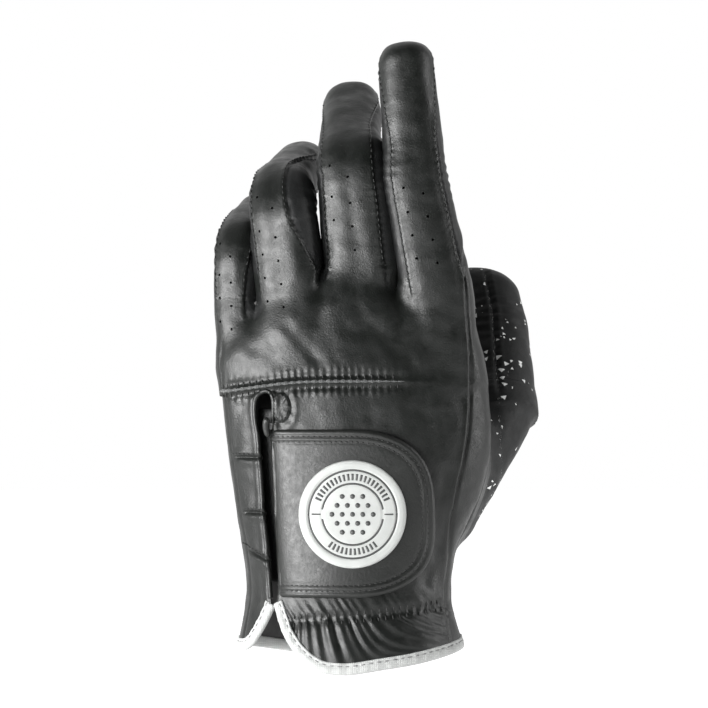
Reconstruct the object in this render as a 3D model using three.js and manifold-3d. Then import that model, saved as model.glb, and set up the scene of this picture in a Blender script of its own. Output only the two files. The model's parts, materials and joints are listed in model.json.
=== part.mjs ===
// A left-hand leather golf glove, holding the shape of the hand inside it.
// Millimetres. The origin is the middle of the wrist opening, +Z runs up the hand to the fingertips,
// +X towards the thumb, and the back of the hand faces -Y, so that the fingers curl towards +Y.
import * as THREE from 'three';
import { mergeVertices } from 'three/addons/utils/BufferGeometryUtils.js';
import Module from 'manifold-3d';

const wasm = await Module();
wasm.setup();

// ---------------------------------------------------------------- driving dimensions

const leather = 0.9;          // thickness of the glove leather
const seamGap = 0.4;          // clearance between neighbouring pieces
const roundness = 2.3;        // superellipse power of every cross-section
const tapeWidth = 3.2;        // binding tape along the cuff
const midY = -3;              // parts the back of the hand from the palm
const farY = 60;              // beyond the glove, in front of it and behind it
const wide = 52;              // beyond the glove at either side
const palmLeft = -33;         // the palm panel's two side seams
const palmRight = 33;

// The hand from the cuff to the knuckles: its two side edges, its back and its palm
const handSections = [
  { z: -8, left: -37.5, right: 38, back: -24, palm: 24 },
  { z: 4, left: -36.5, right: 36, back: -23, palm: 23 },
  { z: 20, left: -34, right: 32.5, back: -21, palm: 21 },
  { z: 35, left: -35.4, right: 34.5, back: -20.5, palm: 18.5 },
  { z: 52, left: -38, right: 42, back: -20, palm: 16 },
  { z: 68, left: -40.3, right: 45.5, back: -19.5, palm: 14 },
  { z: 86, left: -42, right: 44.5, back: -19, palm: 12 },
  { z: 104, left: -43.4, right: 41.5, back: -18, palm: 10 },
  { z: 120, left: -44.2, right: 39.5, back: -16.5, palm: 8.5 },
];
const palmArch = 3;           // how far the edges of the hand fall back behind its middle
const palmTilt = 2;           // how much further back the little finger's edge lies
const handRings = 14;         // rings of the hand's surface, and points on each ring
const handPoints = 40;

// The slit in the back of the hand: its middle line and its width, from the cuff to its round head
const slit = [
  { z: 16, x: -24, width: 1.6 },
  { z: 33, x: -25.4, width: 2.2 },
  { z: 46, x: -26.3, width: 2.3 },
  { z: 60, x: -27.4, width: 2.5 },
  { z: 71, x: -27.7, width: 3.3 },
  { z: 79, x: -27.8, width: 5.2 },
  { z: 84, x: -27.8, width: 3.4 },
  { z: 86, x: -27.8, width: seamGap },
  { z: 124, x: -27.8, width: seamGap },
];
const slitHead = 86;

// The seam between the back of the hand and the thumb-side panel
const thumbSeam = [
  { z: -10, x: 34 }, { z: 20, x: 30.5 }, { z: 32, x: 31.5 }, { z: 52, x: 34 },
  { z: 64, x: 36.5 }, { z: 76, x: 38.3 }, { z: 96, x: 38.6 }, { z: 124, x: 36.8 },
];

// The cuff's lower edge on the back of the hand, and on the palm
const cuffBack = [
  { x: -23.2, z: 17.6 }, { x: -19.2, z: 8.2 }, { x: -14.6, z: 1.4 }, { x: -9.3, z: -2.4 },
  { x: -4, z: -3.6 }, { x: 6, z: -2.6 }, { x: 17.2, z: -0.9 }, { x: 27, z: 1.4 }, { x: 40, z: 4.4 },
];
const cuffPinky = [{ x: -40, z: 0.4 }, { x: -36, z: 4.2 }, { x: -30, z: 11.5 }, { x: -24.8, z: 17.8 }];
const cuffPalm = [{ x: -40, z: 3 }, { x: -12, z: 1.2 }, { x: 12, z: 1.2 }, { x: 40, z: 3.6 }];

// The line across the knuckles where the fingers part from the hand
const knuckleLine = [
  { x: -46, z: 107.5 }, { x: -37, z: 108.5 }, { x: -28.5, z: 112 }, { x: -19, z: 116.5 },
  { x: -8, z: 118 }, { x: 4, z: 117.6 }, { x: 16, z: 115.5 }, { x: 28, z: 115 }, { x: 42, z: 113.5 },
];

// The closure tab
const tab = { left: -25.3, lean: 0.04, right: 26.2, middle: 46.5, halfHeight: 27, corner: 3, shoulder: 2.2 };
const badge = { x: 0.5, z: 46.5, diameter: 34.5, ring: 28.2, core: 19.6, line: 1.2 };

// Layers above the back of the hand, each from its lower face to its upper face
const layers = {
  loopPatch: [0.3, 0.9], hookPatch: [1.2, 1.8], tab: [2.1, 3.1], badge: [3.4, 4.5], relief: [4.8, 5.2],
  elastic: [0.3, 1.1], reinforcement: [0.3, 0.9], slitFacing: [-2.2, -1.3], wristBand: [-2.1, -1.3],
};

// The digits. `base` is the middle of the root hinge. The finger runs along `lean` (towards the little
// finger) and `tilt` (towards the palm), is turned about its own length by `turn`, and at its middle
// joint it bends by `bend` towards the palm, or `skew` degrees sideways of it.
const fingers = [
  {
    name: 'index', base: [28.3, -6, 119.5], lean: 10.5, tilt: -1, turn: 0,
    proximal: 31, radius: 60, bend: 8, skew: 50, distal: 33, width: [22, 17.2], depth: [19, 16.5],
    root: [-8, 30], middle: [-5, 40], dorsalPivot: false,
  },
  {
    name: 'middle', base: [2.3, -3, 122], lean: 5.6, tilt: 0, turn: 7,
    proximal: 28, radius: 12, bend: 56, skew: 0, distal: 34, width: [21.6, 17.8], depth: [19, 16.2],
    root: [-8, 25], middle: [-56, 12], dorsalPivot: true,
  },
  {
    name: 'ring', base: [-20.7, -3, 120], lean: 6.8, tilt: 0, turn: 16.5,
    proximal: 17, radius: 12, bend: 68, skew: 0, distal: 32, width: [19, 16], depth: [18.4, 15.6],
    root: [-8, 25], middle: [-66, 12], dorsalPivot: true,
  },
  {
    name: 'pinky', base: [-37, 3.4, 111.5], lean: 2.6, tilt: 3, turn: 17,
    proximal: 13, radius: 10.5, bend: 66, skew: 0, distal: 23, width: [14.8, 13.2], depth: [16.4, 13.4],
    root: [-8, 25], middle: [-64, 12], dorsalPivot: true,
  },
];
const thumb = {
  name: 'thumb', base: [48.4, 25.4, 81], along: [-0.04, 0.47, 0.88], palmar: [-1, 0, 0],
  proximal: 26, radius: 60, bend: 6, skew: 0, distal: 10, width: [24, 19.5], depth: [24, 19.5],
  root: [-10, 20], middle: [-10, 35], dorsalPivot: false,
};
const thumbBase = [
  { at: [31, 9.5, 46], radius: 9.5 }, { at: [36, 13.5, 57.5], radius: 11 },
  { at: [41.4, 18.5, 68], radius: 12 }, { at: [46.6, 23.6, 77.5], radius: 11.9 },
];
const tipCap = 8;             // length of the rounding at a fingertip
const tipPower = 2.6;
const tipHole = 0.2;          // the strips stop short of the very tip, at this share of their size

// ---------------------------------------------------------------- colours

const finishes = {
  leather: { color: 0x26292a, roughness: 0.42, metalness: 0 },
  fourchette: { color: 0x1c1e1f, roughness: 0.5, metalness: 0 },
  tab: { color: 0x1b1d1e, roughness: 0.6, metalness: 0 },
  tape: { color: 0xc9cbca, roughness: 0.85, metalness: 0 },
  badge: { color: 0xe4e6e5, roughness: 0.6, metalness: 0 },
  relief: { color: 0x2c2f2f, roughness: 0.5, metalness: 0 },
  elastic: { color: 0x4a4e4d, roughness: 0.8, metalness: 0 },
  hook: { color: 0x151617, roughness: 0.9, metalness: 0 },
};

// ---------------------------------------------------------------- helpers

const radians = THREE.MathUtils.degToRad;
const lerp = THREE.MathUtils.lerp;

// A smooth curve through the rows of a table: the value of `key` where `along` equals `at`.
function through(rows, along, key, at) {
  const last = rows.length - 1;
  let i = rows.findIndex((row) => row[along] > at) - 1;
  if (i === -2) i = last - 1;
  i = Math.max(0, i);
  const [before, from, to, after] = [i - 1, i, i + 1, i + 2].map((k) => rows[Math.min(last, Math.max(0, k))]);
  const t = THREE.MathUtils.clamp((at - from[along]) / (to[along] - from[along]), 0, 1);
  const slope = (a, b) => (b === a ? 0 : (b[key] - a[key]) / (b[along] - a[along]));
  const span = to[along] - from[along];
  const start = slope(before, to) * span;
  const end = slope(from, after) * span;
  return (2 * t ** 3 - 3 * t ** 2 + 1) * from[key] + (t ** 3 - 2 * t ** 2 + t) * start
    + (-2 * t ** 3 + 3 * t ** 2) * to[key] + (t ** 3 - t ** 2) * end;
}

// A superellipse's two coordinates at an angle, each from -1 to 1.
function sectionPoint(angle) {
  const side = (v) => Math.sign(v) * Math.abs(v) ** (2 / roundness);
  return [side(Math.cos(angle)), side(Math.sin(angle))];
}

function toGeometry(points, triangles) {
  const geometry = new THREE.BufferGeometry();
  geometry.setAttribute('position', new THREE.Float32BufferAttribute(points.flatMap((p) => p.toArray()), 3));
  geometry.setIndex(triangles);
  return geometry;
}

function toSolid(geometry) {
  const bare = geometry.clone();
  bare.deleteAttribute('normal');
  bare.deleteAttribute('uv');
  const merged = mergeVertices(bare);
  return new wasm.Manifold(new wasm.Mesh({
    numProp: 3, vertProperties: merged.attributes.position.array, triVerts: new Uint32Array(merged.index.array),
  }));
}

function fromSolid(solid) {
  const { vertProperties, triVerts } = solid.getMesh();
  const geometry = new THREE.BufferGeometry();
  geometry.setAttribute('position', new THREE.BufferAttribute(vertProperties, 3));
  geometry.setIndex(new THREE.BufferAttribute(triVerts, 1));
  return geometry;
}

// The biggest of the bodies that a cut leaves: the others are slivers at the rim of the cut.
function biggest(solid) {
  return solid.decompose().reduce((best, body) => (body.volume() > best.volume() ? body : best));
}

// A closed loft through rings that all have the same number of points, capped at both ends.
function loft(rings) {
  const count = rings[0].length;
  const points = rings.flat();
  const triangles = [];
  for (let r = 0; r < rings.length - 1; r += 1) {
    for (let i = 0; i < count; i += 1) {
      const [a, b] = [r * count + i, r * count + ((i + 1) % count)];
      triangles.push(a, b, b + count, a, b + count, a + count);
    }
  }
  for (const [ring, flip] of [[0, true], [rings.length - 1, false]]) {
    const middle = rings[ring].reduce((sum, p) => sum.add(p), new THREE.Vector3()).divideScalar(count);
    points.push(middle);
    for (let i = 0; i < count; i += 1) {
      const [a, b] = [ring * count + i, ring * count + ((i + 1) % count)];
      triangles.push(points.length - 1, ...(flip ? [b, a] : [a, b]));
    }
  }
  return toGeometry(points, triangles);
}

// A closed sheet between an outer and an inner grid of points, both [row][column].
function sheet(outer, inner) {
  const [rows, columns] = [outer.length, outer[0].length];
  const points = [...outer.flat(), ...inner.flat()];
  const top = (r, c) => r * columns + c;
  const under = (r, c) => rows * columns + r * columns + c;
  const triangles = [];
  const quad = (a, b, c, d) => triangles.push(a, b, c, a, c, d);
  for (let r = 0; r < rows - 1; r += 1) {
    for (let c = 0; c < columns - 1; c += 1) {
      quad(top(r, c), top(r, c + 1), top(r + 1, c + 1), top(r + 1, c));
      quad(under(r, c), under(r + 1, c), under(r + 1, c + 1), under(r, c + 1));
    }
    quad(top(r, 0), top(r + 1, 0), under(r + 1, 0), under(r, 0));
    quad(top(r, columns - 1), under(r, columns - 1), under(r + 1, columns - 1), top(r + 1, columns - 1));
  }
  for (let c = 0; c < columns - 1; c += 1) {
    quad(top(0, c), under(0, c), under(0, c + 1), top(0, c + 1));
    quad(top(rows - 1, c), top(rows - 1, c + 1), under(rows - 1, c + 1), under(rows - 1, c));
  }
  return toGeometry(points, triangles);
}

function steps(count) {
  return Array.from({ length: count + 1 }, (_, i) => i / count);
}

// ---------------------------------------------------------------- the hand's surface and its cutters

// The ring of points round the hand at one height, `offset` outside the leather's outer face.
function handRing(z, offset) {
  const at = THREE.MathUtils.clamp(z, handSections[0].z, handSections.at(-1).z);
  const [left, right, back, palm] = ['left', 'right', 'back', 'palm'].map((k) => through(handSections, 'z', k, at));
  return steps(handPoints).slice(0, -1).map((share) => {
    const [across, deep] = sectionPoint(share * 2 * Math.PI);
    const fallBack = palmArch * across ** 2 - palmTilt * across;
    return new THREE.Vector3(
      (left + right) / 2 + ((right - left) / 2 + offset) * across,
      (back + palm) / 2 + ((palm - back) / 2 + offset) * deep + fallBack,
      z,
    );
  });
}

// The whole hand as a solid, `offset` outside the leather's outer face. `reach` lengthens both ends.
function handSolid(offset, reach = 0) {
  const [low, high] = [-12 - reach, 122 + reach];
  return toSolid(loft(steps(handRings).map((t) => handRing(lerp(low, high, t), offset))));
}

function layer([low, high]) {
  return handSolid(high).subtract(handSolid(low, 2));
}

// A prism along Y over an outline of [x, z] points.
function prism(outline, fromY, toY) {
  const shape = new THREE.Shape(outline.map(([x, z]) => new THREE.Vector2(x, z)));
  const geometry = new THREE.ExtrudeGeometry(shape, { depth: toY - fromY, bevelEnabled: false });
  return toSolid(geometry.rotateX(Math.PI / 2).translate(0, toY, 0));
}

const slitAt = (z) => through(slit, 'z', 'x', z);
const slitWidthAt = (z) => through(slit, 'z', 'width', z);
const thumbSeamAt = (z) => through(thumbSeam, 'z', 'x', z);
const knuckleAt = (x) => through(knuckleLine, 'x', 'z', x);

function lineUp(from, to, count, x) {
  return steps(count).map((t) => [x(lerp(from, to, t)), lerp(from, to, t)]);
}

function lineAcross(from, to, count, z) {
  return steps(count).map((t) => [lerp(from, to, t), z(lerp(from, to, t))]);
}

// A run of [x, z] points moved sideways, to the left of its direction of travel.
function beside(points, distance) {
  return points.map((point, i) => {
    const [a, b] = [points[Math.max(0, i - 1)], points[Math.min(points.length - 1, i + 1)]];
    const [dx, dz] = [b[0] - a[0], b[1] - a[1]];
    const length = Math.hypot(dx, dz);
    return [point[0] - (distance * dz) / length, point[1] + (distance * dx) / length];
  });
}

function cuffLine(rows, count) {
  return lineAcross(rows[0].x, rows.at(-1).x, count, (x) => through(rows, 'x', 'z', x));
}

// ---------------------------------------------------------------- the hand's panels

const leatherLayer = layer([-leather, 0]);

function backPanel() {
  const hem = beside(cuffLine(cuffBack, 22), tapeWidth + seamGap).filter(([x, z]) => x < thumbSeamAt(z));
  const start = hem[0];
  const slitSide = lineUp(slitHead, start[1] + 2, 12, (z) => slitAt(z) + slitWidthAt(z) / 2)
    .filter(([x, z]) => z > start[1]);
  const seamSide = lineUp(hem.at(-1)[1] + 2, 112, 12, thumbSeamAt);
  const corner = seamSide.at(-1)[0];
  const top = lineAcross(corner, -wide, 18, knuckleAt);
  const overSidePanel = [[-wide, slitHead + seamGap / 2], [slitAt(slitHead), slitHead + seamGap / 2]];
  return leatherLayer.intersect(prism([...hem, ...seamSide, ...top, ...overSidePanel, ...slitSide], -farY, midY));
}

function pinkySidePanel() {
  const hem = beside(cuffLine(cuffPinky, 8), tapeWidth + seamGap);
  const top = slitHead - seamGap / 2;
  const slitSide = lineUp(hem.at(-1)[1] + 1, top, 12, (z) => slitAt(z) - slitWidthAt(z) / 2);
  const back = prism([...hem, ...slitSide, [-wide, top], [-wide, hem[0][1]]], -farY, midY);
  const palmHem = beside(cuffLine(cuffPalm, 10), tapeWidth + seamGap).filter(([x]) => x < palmLeft);
  const edge = [[palmLeft, palmHem.at(-1)[1]], [palmLeft, top], [-wide, top], [-wide, palmHem[0][1]]];
  return leatherLayer.intersect(back.add(prism([...palmHem, ...edge], midY, farY)));
}

function palmPanel(thumbHole) {
  const hem = beside(cuffLine(cuffPalm, 10), tapeWidth + seamGap)
    .filter(([x]) => x > palmLeft + seamGap && x < palmRight - seamGap);
  const top = lineAcross(palmRight - seamGap, -wide, 14, knuckleAt);
  const step = slitHead + seamGap / 2;
  const leftSide = [[-wide, step], [palmLeft + seamGap, step], [palmLeft + seamGap, hem[0][1]]];
  const outline = [...hem, [palmRight - seamGap, hem.at(-1)[1]], ...top, ...leftSide];
  return biggest(leatherLayer.intersect(prism(outline, midY + seamGap, farY)).subtract(thumbHole));
}

function thumbSidePanel(thumbHole) {
  const hemBack = beside(cuffLine(cuffBack, 22), tapeWidth + seamGap).filter(([x, z]) => x > thumbSeamAt(z) + seamGap);
  const seamSide = lineUp(112, hemBack[0][1] + 1, 12, (z) => thumbSeamAt(z) + seamGap);
  const top = lineAcross(wide, seamSide[0][0], 4, knuckleAt);
  const back = prism([...hemBack, [wide, hemBack.at(-1)[1]], ...top, ...seamSide], -farY, midY);
  const hemPalm = beside(cuffLine(cuffPalm, 16), tapeWidth + seamGap).filter(([x]) => x > palmRight);
  const palmTop = lineAcross(wide, palmRight, 4, knuckleAt);
  const palmSide = prism([[palmRight, hemPalm[0][1]], ...hemPalm, [wide, hemPalm.at(-1)[1]], ...palmTop], midY, farY);
  return biggest(leatherLayer.intersect(back.add(palmSide)).subtract(thumbHole));
}

// Binding tape is as wide as tapeWidth above the cuff's lower edge, and a little thicker than the leather.
const tapeLayer = layer([-leather - 0.3, 0.3]);

function binding(rows, count, fromY, toY, keep) {
  const low = cuffLine(rows, count).filter(keep);
  const high = beside(low, tapeWidth);
  return tapeLayer.intersect(prism([...low, ...high.reverse()], fromY, toY));
}

function band(centre, halfWidth, range) {
  const outline = [...beside(centre, -halfWidth), ...beside(centre, halfWidth).reverse()];
  return layer(range).intersect(prism(outline, -farY, midY));
}

function knuckleElastic() {
  return band(lineAcross(-38, 25.5, 16, (x) => 89 - 2.6 * ((25.5 - x) / 63.5) ** 2), 0.8, layers.elastic);
}

function wristElastic() {
  return band(lineAcross(-18, 29, 12, (x) => 13.6 + 2.6 * ((x + 18) / 47) ** 2), 2.5, layers.wristBand);
}

// A strip of leather inside the slit, which carries the closure tab's root.
function slitFacing() {
  return band(lineUp(24, 72, 10, slitAt), 4, layers.slitFacing);
}

function slitReinforcement() {
  const outline = [[-24.6, 79], [-24.9, 85.6], [-21, 86], [-19.5, 84], [-20.4, 79], [-22, 76.6], [-24.2, 76.6]];
  return layer(layers.reinforcement).intersect(prism(outline, -farY, midY));
}

// ---------------------------------------------------------------- the closure tab and its badge

// The tab's outline: straight along the slit, and one superellipse round its free end.
function tabOutline(inset) {
  const [height, reach] = [tab.halfHeight - inset, tab.right - inset];
  const round = steps(18).map((t) => {
    const z = -height * Math.cos(Math.PI * t);
    const share = Math.abs(z / height) ** tab.corner;
    return [reach * (1 - share) ** (1 / tab.shoulder), tab.middle + z];
  });
  const left = (z) => [tab.left + inset - tab.lean * z, tab.middle + z];
  return [left(-height), ...round, left(height)];
}

function tabLayer(inset, range) {
  return layer(range).intersect(prism(tabOutline(inset), -farY, midY));
}

function circle(diameter) {
  return steps(28).slice(0, -1).map((t) => {
    const angle = t * 2 * Math.PI;
    return [badge.x + (diameter / 2) * Math.cos(angle), badge.z + (diameter / 2) * Math.sin(angle)];
  });
}

function badgeDisc() {
  return layer(layers.badge).intersect(prism(circle(badge.diameter), -farY, midY));
}

// A raised ring with the badge's inner field inside it, joined by four spokes into one piece.
function badgeRelief() {
  const ring = (outer) => prism(circle(outer), -farY, midY)
    .subtract(prism(circle(outer - 2 * badge.line), -farY - 1, midY + 1));
  const spokes = [0, 1, 2, 3].map((i) => {
    const angle = radians(45 + 90 * i);
    const [near, far, half] = [badge.core / 2 - badge.line / 2, badge.ring / 2 - badge.line / 2, badge.line / 2];
    const corner = (along, side) => [
      badge.x + along * Math.cos(angle) - side * Math.sin(angle),
      badge.z + along * Math.sin(angle) + side * Math.cos(angle),
    ];
    return prism([corner(near, -half), corner(far, -half), corner(far, half), corner(near, half)], -farY, midY);
  });
  const pattern = spokes.reduce((all, spoke) => all.add(spoke), ring(badge.ring).add(ring(badge.core)));
  return layer(layers.relief).intersect(pattern);
}

// ---------------------------------------------------------------- the digits

// A digit's length, and its centre and axes at any distance along it.
function makeDigit(spec) {
  const along = new THREE.Vector3();
  const palmar = new THREE.Vector3();
  if (spec.along) {
    along.set(...spec.along).normalize();
    palmar.set(...spec.palmar);
  } else {
    along.set(-Math.sin(radians(spec.lean)), Math.sin(radians(spec.tilt)), Math.cos(radians(spec.lean))).normalize();
    palmar.set(Math.sin(radians(spec.turn)), Math.cos(radians(spec.turn)), 0);
  }
  palmar.addScaledVector(along, -palmar.dot(along)).normalize();
  const across = palmar.clone().cross(along);
  const skew = radians(spec.skew);
  const towards = palmar.clone().multiplyScalar(Math.cos(skew)).addScaledVector(across, Math.sin(skew));
  const bendAxis = along.clone().cross(towards);
  const arc = spec.radius * radians(spec.bend);
  const length = spec.proximal + arc + spec.distal + tipCap;

  function frame(s) {
    const straight = Math.min(s, spec.proximal);
    const angle = THREE.MathUtils.clamp((s - spec.proximal) / spec.radius, 0, radians(spec.bend));
    const beyond = Math.max(0, s - spec.proximal - arc);
    const turn = (v) => v.clone().applyAxisAngle(bendAxis, angle);
    const centre = new THREE.Vector3(...spec.base).addScaledVector(along, straight + spec.radius * Math.sin(angle))
      .addScaledVector(towards, spec.radius * (1 - Math.cos(angle))).addScaledVector(turn(along), beyond);
    const left = Math.max(0, length - s);
    const round = left < tipCap ? (1 - (1 - left / tipCap) ** tipPower) ** (1 / tipPower) : 1;
    return {
      centre, across: turn(across), palmar: turn(palmar), round,
      halfWidth: lerp(...spec.width, s / length) / 2, halfDepth: lerp(...spec.depth, s / length) / 2,
    };
  }

  return { spec, frame, length, middleJoint: spec.proximal + arc / 2 };
}

function digitPoint(digit, s, angle, offset) {
  const f = digit.frame(s);
  const [across, deep] = sectionPoint(angle);
  return f.centre.clone().addScaledVector(f.across, (f.halfWidth + offset) * f.round * across)
    .addScaledVector(f.palmar, (f.halfDepth + offset) * f.round * deep);
}

// The gap that one side of a hinge needs, so that the edges only just meet at each limit.
function wedge(depth, pivotDepth, [back, forward]) {
  const above = depth - pivotDepth;
  return seamGap + Math.abs(above) * Math.tan(radians(above > 0 ? forward : -back)) * 1.15;
}

// The distance along the centre line that leaves such a gap past the middle joint. Inside the bend
// the skin on the palm's side is shorter than the centre line.
function pastMiddle(digit, depth, gap) {
  const halfArc = (digit.spec.radius * radians(digit.spec.bend)) / 2;
  const share = 1 - depth / digit.spec.radius;
  return gap < halfArc * share ? gap / share : halfArc + gap - halfArc * share;
}

// One lengthwise strip of a digit's skin, between two angles, either side of the middle joint.
function digitStrip(digit, part, fromAngle, toAngle, columns) {
  const { spec } = digit;
  const lower = part === 'lower';
  const tipEnd = digit.length - tipCap * (1 - (1 - tipHole ** tipPower) ** (1 / tipPower));
  const rows = lower ? 4 : 7;
  const towardsTip = (t) => (lower ? t : 1 - (1 - t) ** 1.8);
  const edge = seamGap / spec.width[0];
  const angles = steps(columns).map((t) => lerp(radians(fromAngle) + edge, radians(toAngle) - edge, t));
  const span = (angle) => {
    const depth = digit.frame(0).halfDepth * sectionPoint(angle)[1];
    const { halfDepth } = digit.frame(digit.middleJoint);
    const middleDepth = halfDepth * sectionPoint(angle)[1];
    const pivot = spec.dorsalPivot ? -halfDepth : 0;
    const middleLimits = spec.dorsalPivot ? [0, spec.middle[1]] : spec.middle;
    return lower
      ? [wedge(depth, 0, spec.root), digit.middleJoint - seamGap / 2]
      : [digit.middleJoint + pastMiddle(digit, middleDepth, wedge(middleDepth, pivot, middleLimits)), tipEnd];
  };
  const grid = (offset) => steps(rows).map((t) => angles.map((angle) => {
    const [start, end] = span(angle);
    return digitPoint(digit, lerp(start, end, towardsTip(t)), angle, offset);
  }));
  return sheet(grid(0), grid(-leather));
}

// ---------------------------------------------------------------- the thumb's base

function thumbBaseSolid(offset, reach) {
  const curve = new THREE.CatmullRomCurve3(thumbBase.map(({ at }) => new THREE.Vector3(...at)));
  const rows = thumbBase.map(({ radius }, i) => ({ t: i / (thumbBase.length - 1), radius }));
  const last = thumbBase.length - 1;
  const axis = new THREE.Vector3(...thumb.along).normalize();
  const side = new THREE.Vector3(...thumb.palmar);
  const rings = steps(6).map((t) => {
    const centre = curve.getPoint(t);
    const along = t > 0.999 ? axis : curve.getTangent(t);
    if (t > 0.999) centre.addScaledVector(axis, reach);
    const palmar = side.clone().addScaledVector(along, -side.dot(along)).normalize();
    const across = palmar.clone().cross(along);
    const radius = through(rows, 't', 'radius', t) + offset;
    return steps(16).slice(0, -1).map((share) => {
      const [x, y] = sectionPoint(share * 2 * Math.PI);
      return centre.clone().addScaledVector(across, radius * x).addScaledVector(palmar, radius * y);
    });
  });
  return toSolid(loft(rings));
}

// The leather round the thumb's root, open towards the hand and towards the thumb.
function thumbRoot() {
  return biggest(thumbBaseSolid(0, 0).subtract(thumbBaseSolid(-leather, 3)).subtract(handSolid(seamGap, 1)));
}

// ---------------------------------------------------------------- webs between the fingers

// A saddle of leather between two fingers' roots, across the whole depth of the hand.
function web(left, right, lowering) {
  const [a, b] = [left, right].map(({ base }) => new THREE.Vector3(...base));
  const gap = 5.4;
  const x = (a.x + left.width[0] / 2 + b.x - right.width[0] / 2) / 2;
  const z = knuckleAt(x) - lowering;
  const arch = (radius) => steps(10).map((t) => {
    const angle = Math.PI * t;
    return [x + radius * Math.cos(angle), z - (gap / 2) * 0.6 + radius * 0.6 * Math.sin(angle)];
  });
  const outline = [...arch(gap / 2), ...arch(gap / 2 - leather).reverse()];
  const middle = (a.y + b.y) / 2;
  return fromSolid(prism(outline, middle - 6, middle + 6));
}

// ---------------------------------------------------------------- the glove

const glove = new THREE.Group();

function add(name, shape, finish) {
  const geometry = shape.isBufferGeometry ? shape.toNonIndexed() : fromSolid(shape).toNonIndexed();
  geometry.computeVertexNormals();
  const mesh = new THREE.Mesh(geometry, new THREE.MeshStandardMaterial(finishes[finish]));
  mesh.name = name;
  glove.add(mesh);
}

const thumbHole = thumbBaseSolid(seamGap, 4);

add('back_panel', backPanel(), 'leather');
add('pinky_side_panel', pinkySidePanel(), 'leather');
add('palm_panel', palmPanel(thumbHole), 'leather');
add('thumb_side_panel', thumbSidePanel(thumbHole), 'leather');
add('thumb_root', thumbRoot(), 'leather');
add('knuckle_elastic', knuckleElastic(), 'elastic');
add('wrist_elastic', wristElastic(), 'elastic');
add('slit_facing', slitFacing(), 'leather');
add('slit_reinforcement', slitReinforcement(), 'leather');
add('cuff_binding_back', binding(cuffBack, 26, -farY, midY, () => true), 'tape');
add('cuff_binding_pinky', binding(cuffPinky, 10, -farY, midY, () => true), 'tape');
add('cuff_binding_palm', binding(cuffPalm, 12, midY + seamGap, farY, () => true), 'tape');
add('loop_patch', tabLayer(4, layers.loopPatch), 'hook');
add('hook_patch', tabLayer(5, layers.hookPatch), 'hook');
add('closure_tab', tabLayer(0, layers.tab), 'tab');
add('badge_disc', badgeDisc(), 'badge');
add('badge_relief', badgeRelief(), 'relief');

const quarters = { back: [-135, -45], outer_side: [-45, 45], palm: [45, 135], inner_side: [135, 225] };
for (const spec of fingers) {
  const digit = makeDigit(spec);
  for (const part of ['lower', 'upper']) {
    for (const [side, [from, to]] of Object.entries(quarters)) {
      const finish = side.endsWith('side') ? 'fourchette' : 'leather';
      add(`${spec.name}_${part}_${side}`, digitStrip(digit, part, from, to, 3), finish);
    }
  }
}

const thumbDigit = makeDigit(thumb);
for (const part of ['lower', 'upper']) {
  add(`thumb_${part}_inner`, digitStrip(thumbDigit, part, 0, 180, 6), 'leather');
  add(`thumb_${part}_outer`, digitStrip(thumbDigit, part, 180, 360, 6), 'leather');
}

add('web_index_middle', web(fingers[1], fingers[0], 1), 'fourchette');
add('web_middle_ring', web(fingers[2], fingers[1], 1), 'fourchette');
add('web_ring_pinky', web(fingers[3], fingers[2], 1), 'fourchette');

export default glove;
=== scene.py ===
import json
import math
import bpy
import numpy as np
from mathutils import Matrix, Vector


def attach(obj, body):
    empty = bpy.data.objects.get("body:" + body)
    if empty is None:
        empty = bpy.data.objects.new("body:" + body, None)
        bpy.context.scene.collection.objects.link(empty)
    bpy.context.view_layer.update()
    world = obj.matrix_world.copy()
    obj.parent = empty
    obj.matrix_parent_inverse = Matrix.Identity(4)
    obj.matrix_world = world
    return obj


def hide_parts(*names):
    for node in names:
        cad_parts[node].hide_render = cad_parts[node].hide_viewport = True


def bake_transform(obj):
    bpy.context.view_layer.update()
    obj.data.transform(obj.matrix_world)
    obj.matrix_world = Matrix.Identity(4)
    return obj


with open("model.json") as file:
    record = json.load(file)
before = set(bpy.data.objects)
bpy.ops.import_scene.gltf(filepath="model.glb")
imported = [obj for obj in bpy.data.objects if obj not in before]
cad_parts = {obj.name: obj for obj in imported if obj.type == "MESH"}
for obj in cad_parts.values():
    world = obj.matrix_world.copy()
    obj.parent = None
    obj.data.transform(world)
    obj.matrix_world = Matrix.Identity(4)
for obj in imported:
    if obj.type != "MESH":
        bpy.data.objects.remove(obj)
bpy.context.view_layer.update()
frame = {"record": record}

MM = 0.001
JOINTS = {joint["name"]: joint for joint in frame["record"]["behaviour"]["joints"]}

# ---------------------------------------------------------------- driving dimensions, in millimetres

LEATHER = 0.9
ROUND = 2.3                   # superellipse power of every cross-section
FINE = 0.7                    # edge length of the leather's mesh
HAND_VOXEL = 0.85
MID_Y = -3.0                  # parts the back of the hand from the palm
PALM_SEAM = 33.0              # the palm panel's two side seams

# The hand from the cuff to the knuckles: height, its two side edges, its back and its palm
HAND = np.array([
    [-8, -37.5, 38, -24, 24],
    [4, -36.5, 36, -23, 23],
    [20, -34, 32.5, -21, 21],
    [35, -35.4, 34.5, -20.5, 18.5],
    [52, -38, 42, -20, 16],
    [68, -40.3, 45.5, -19.5, 14],
    [86, -42, 44.5, -18.6, 12],
    [104, -43.4, 41.5, -16.4, 10],
    [122, -44.2, 39.5, -13.4, 8.5],
])
PALM_ARCH = 3.0
PALM_TILT = 2.0
HAND_CAP = 13.0               # length of the rounding under the fingers

# The slit: height, middle line, width
SLIT = np.array([
    [16, -24.9, 1.4], [24, -24.7, 3.0], [33, -25.1, 3.5], [46, -26.3, 3.8], [60, -27.1, 4.1],
    [71, -27.7, 4.6], [78, -28, 6.0], [83, -27.9, 5.8], [85.3, -27.6, 3.4], [86, -27.5, 0.01],
])
SLIT_HEAD = 86.0
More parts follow.
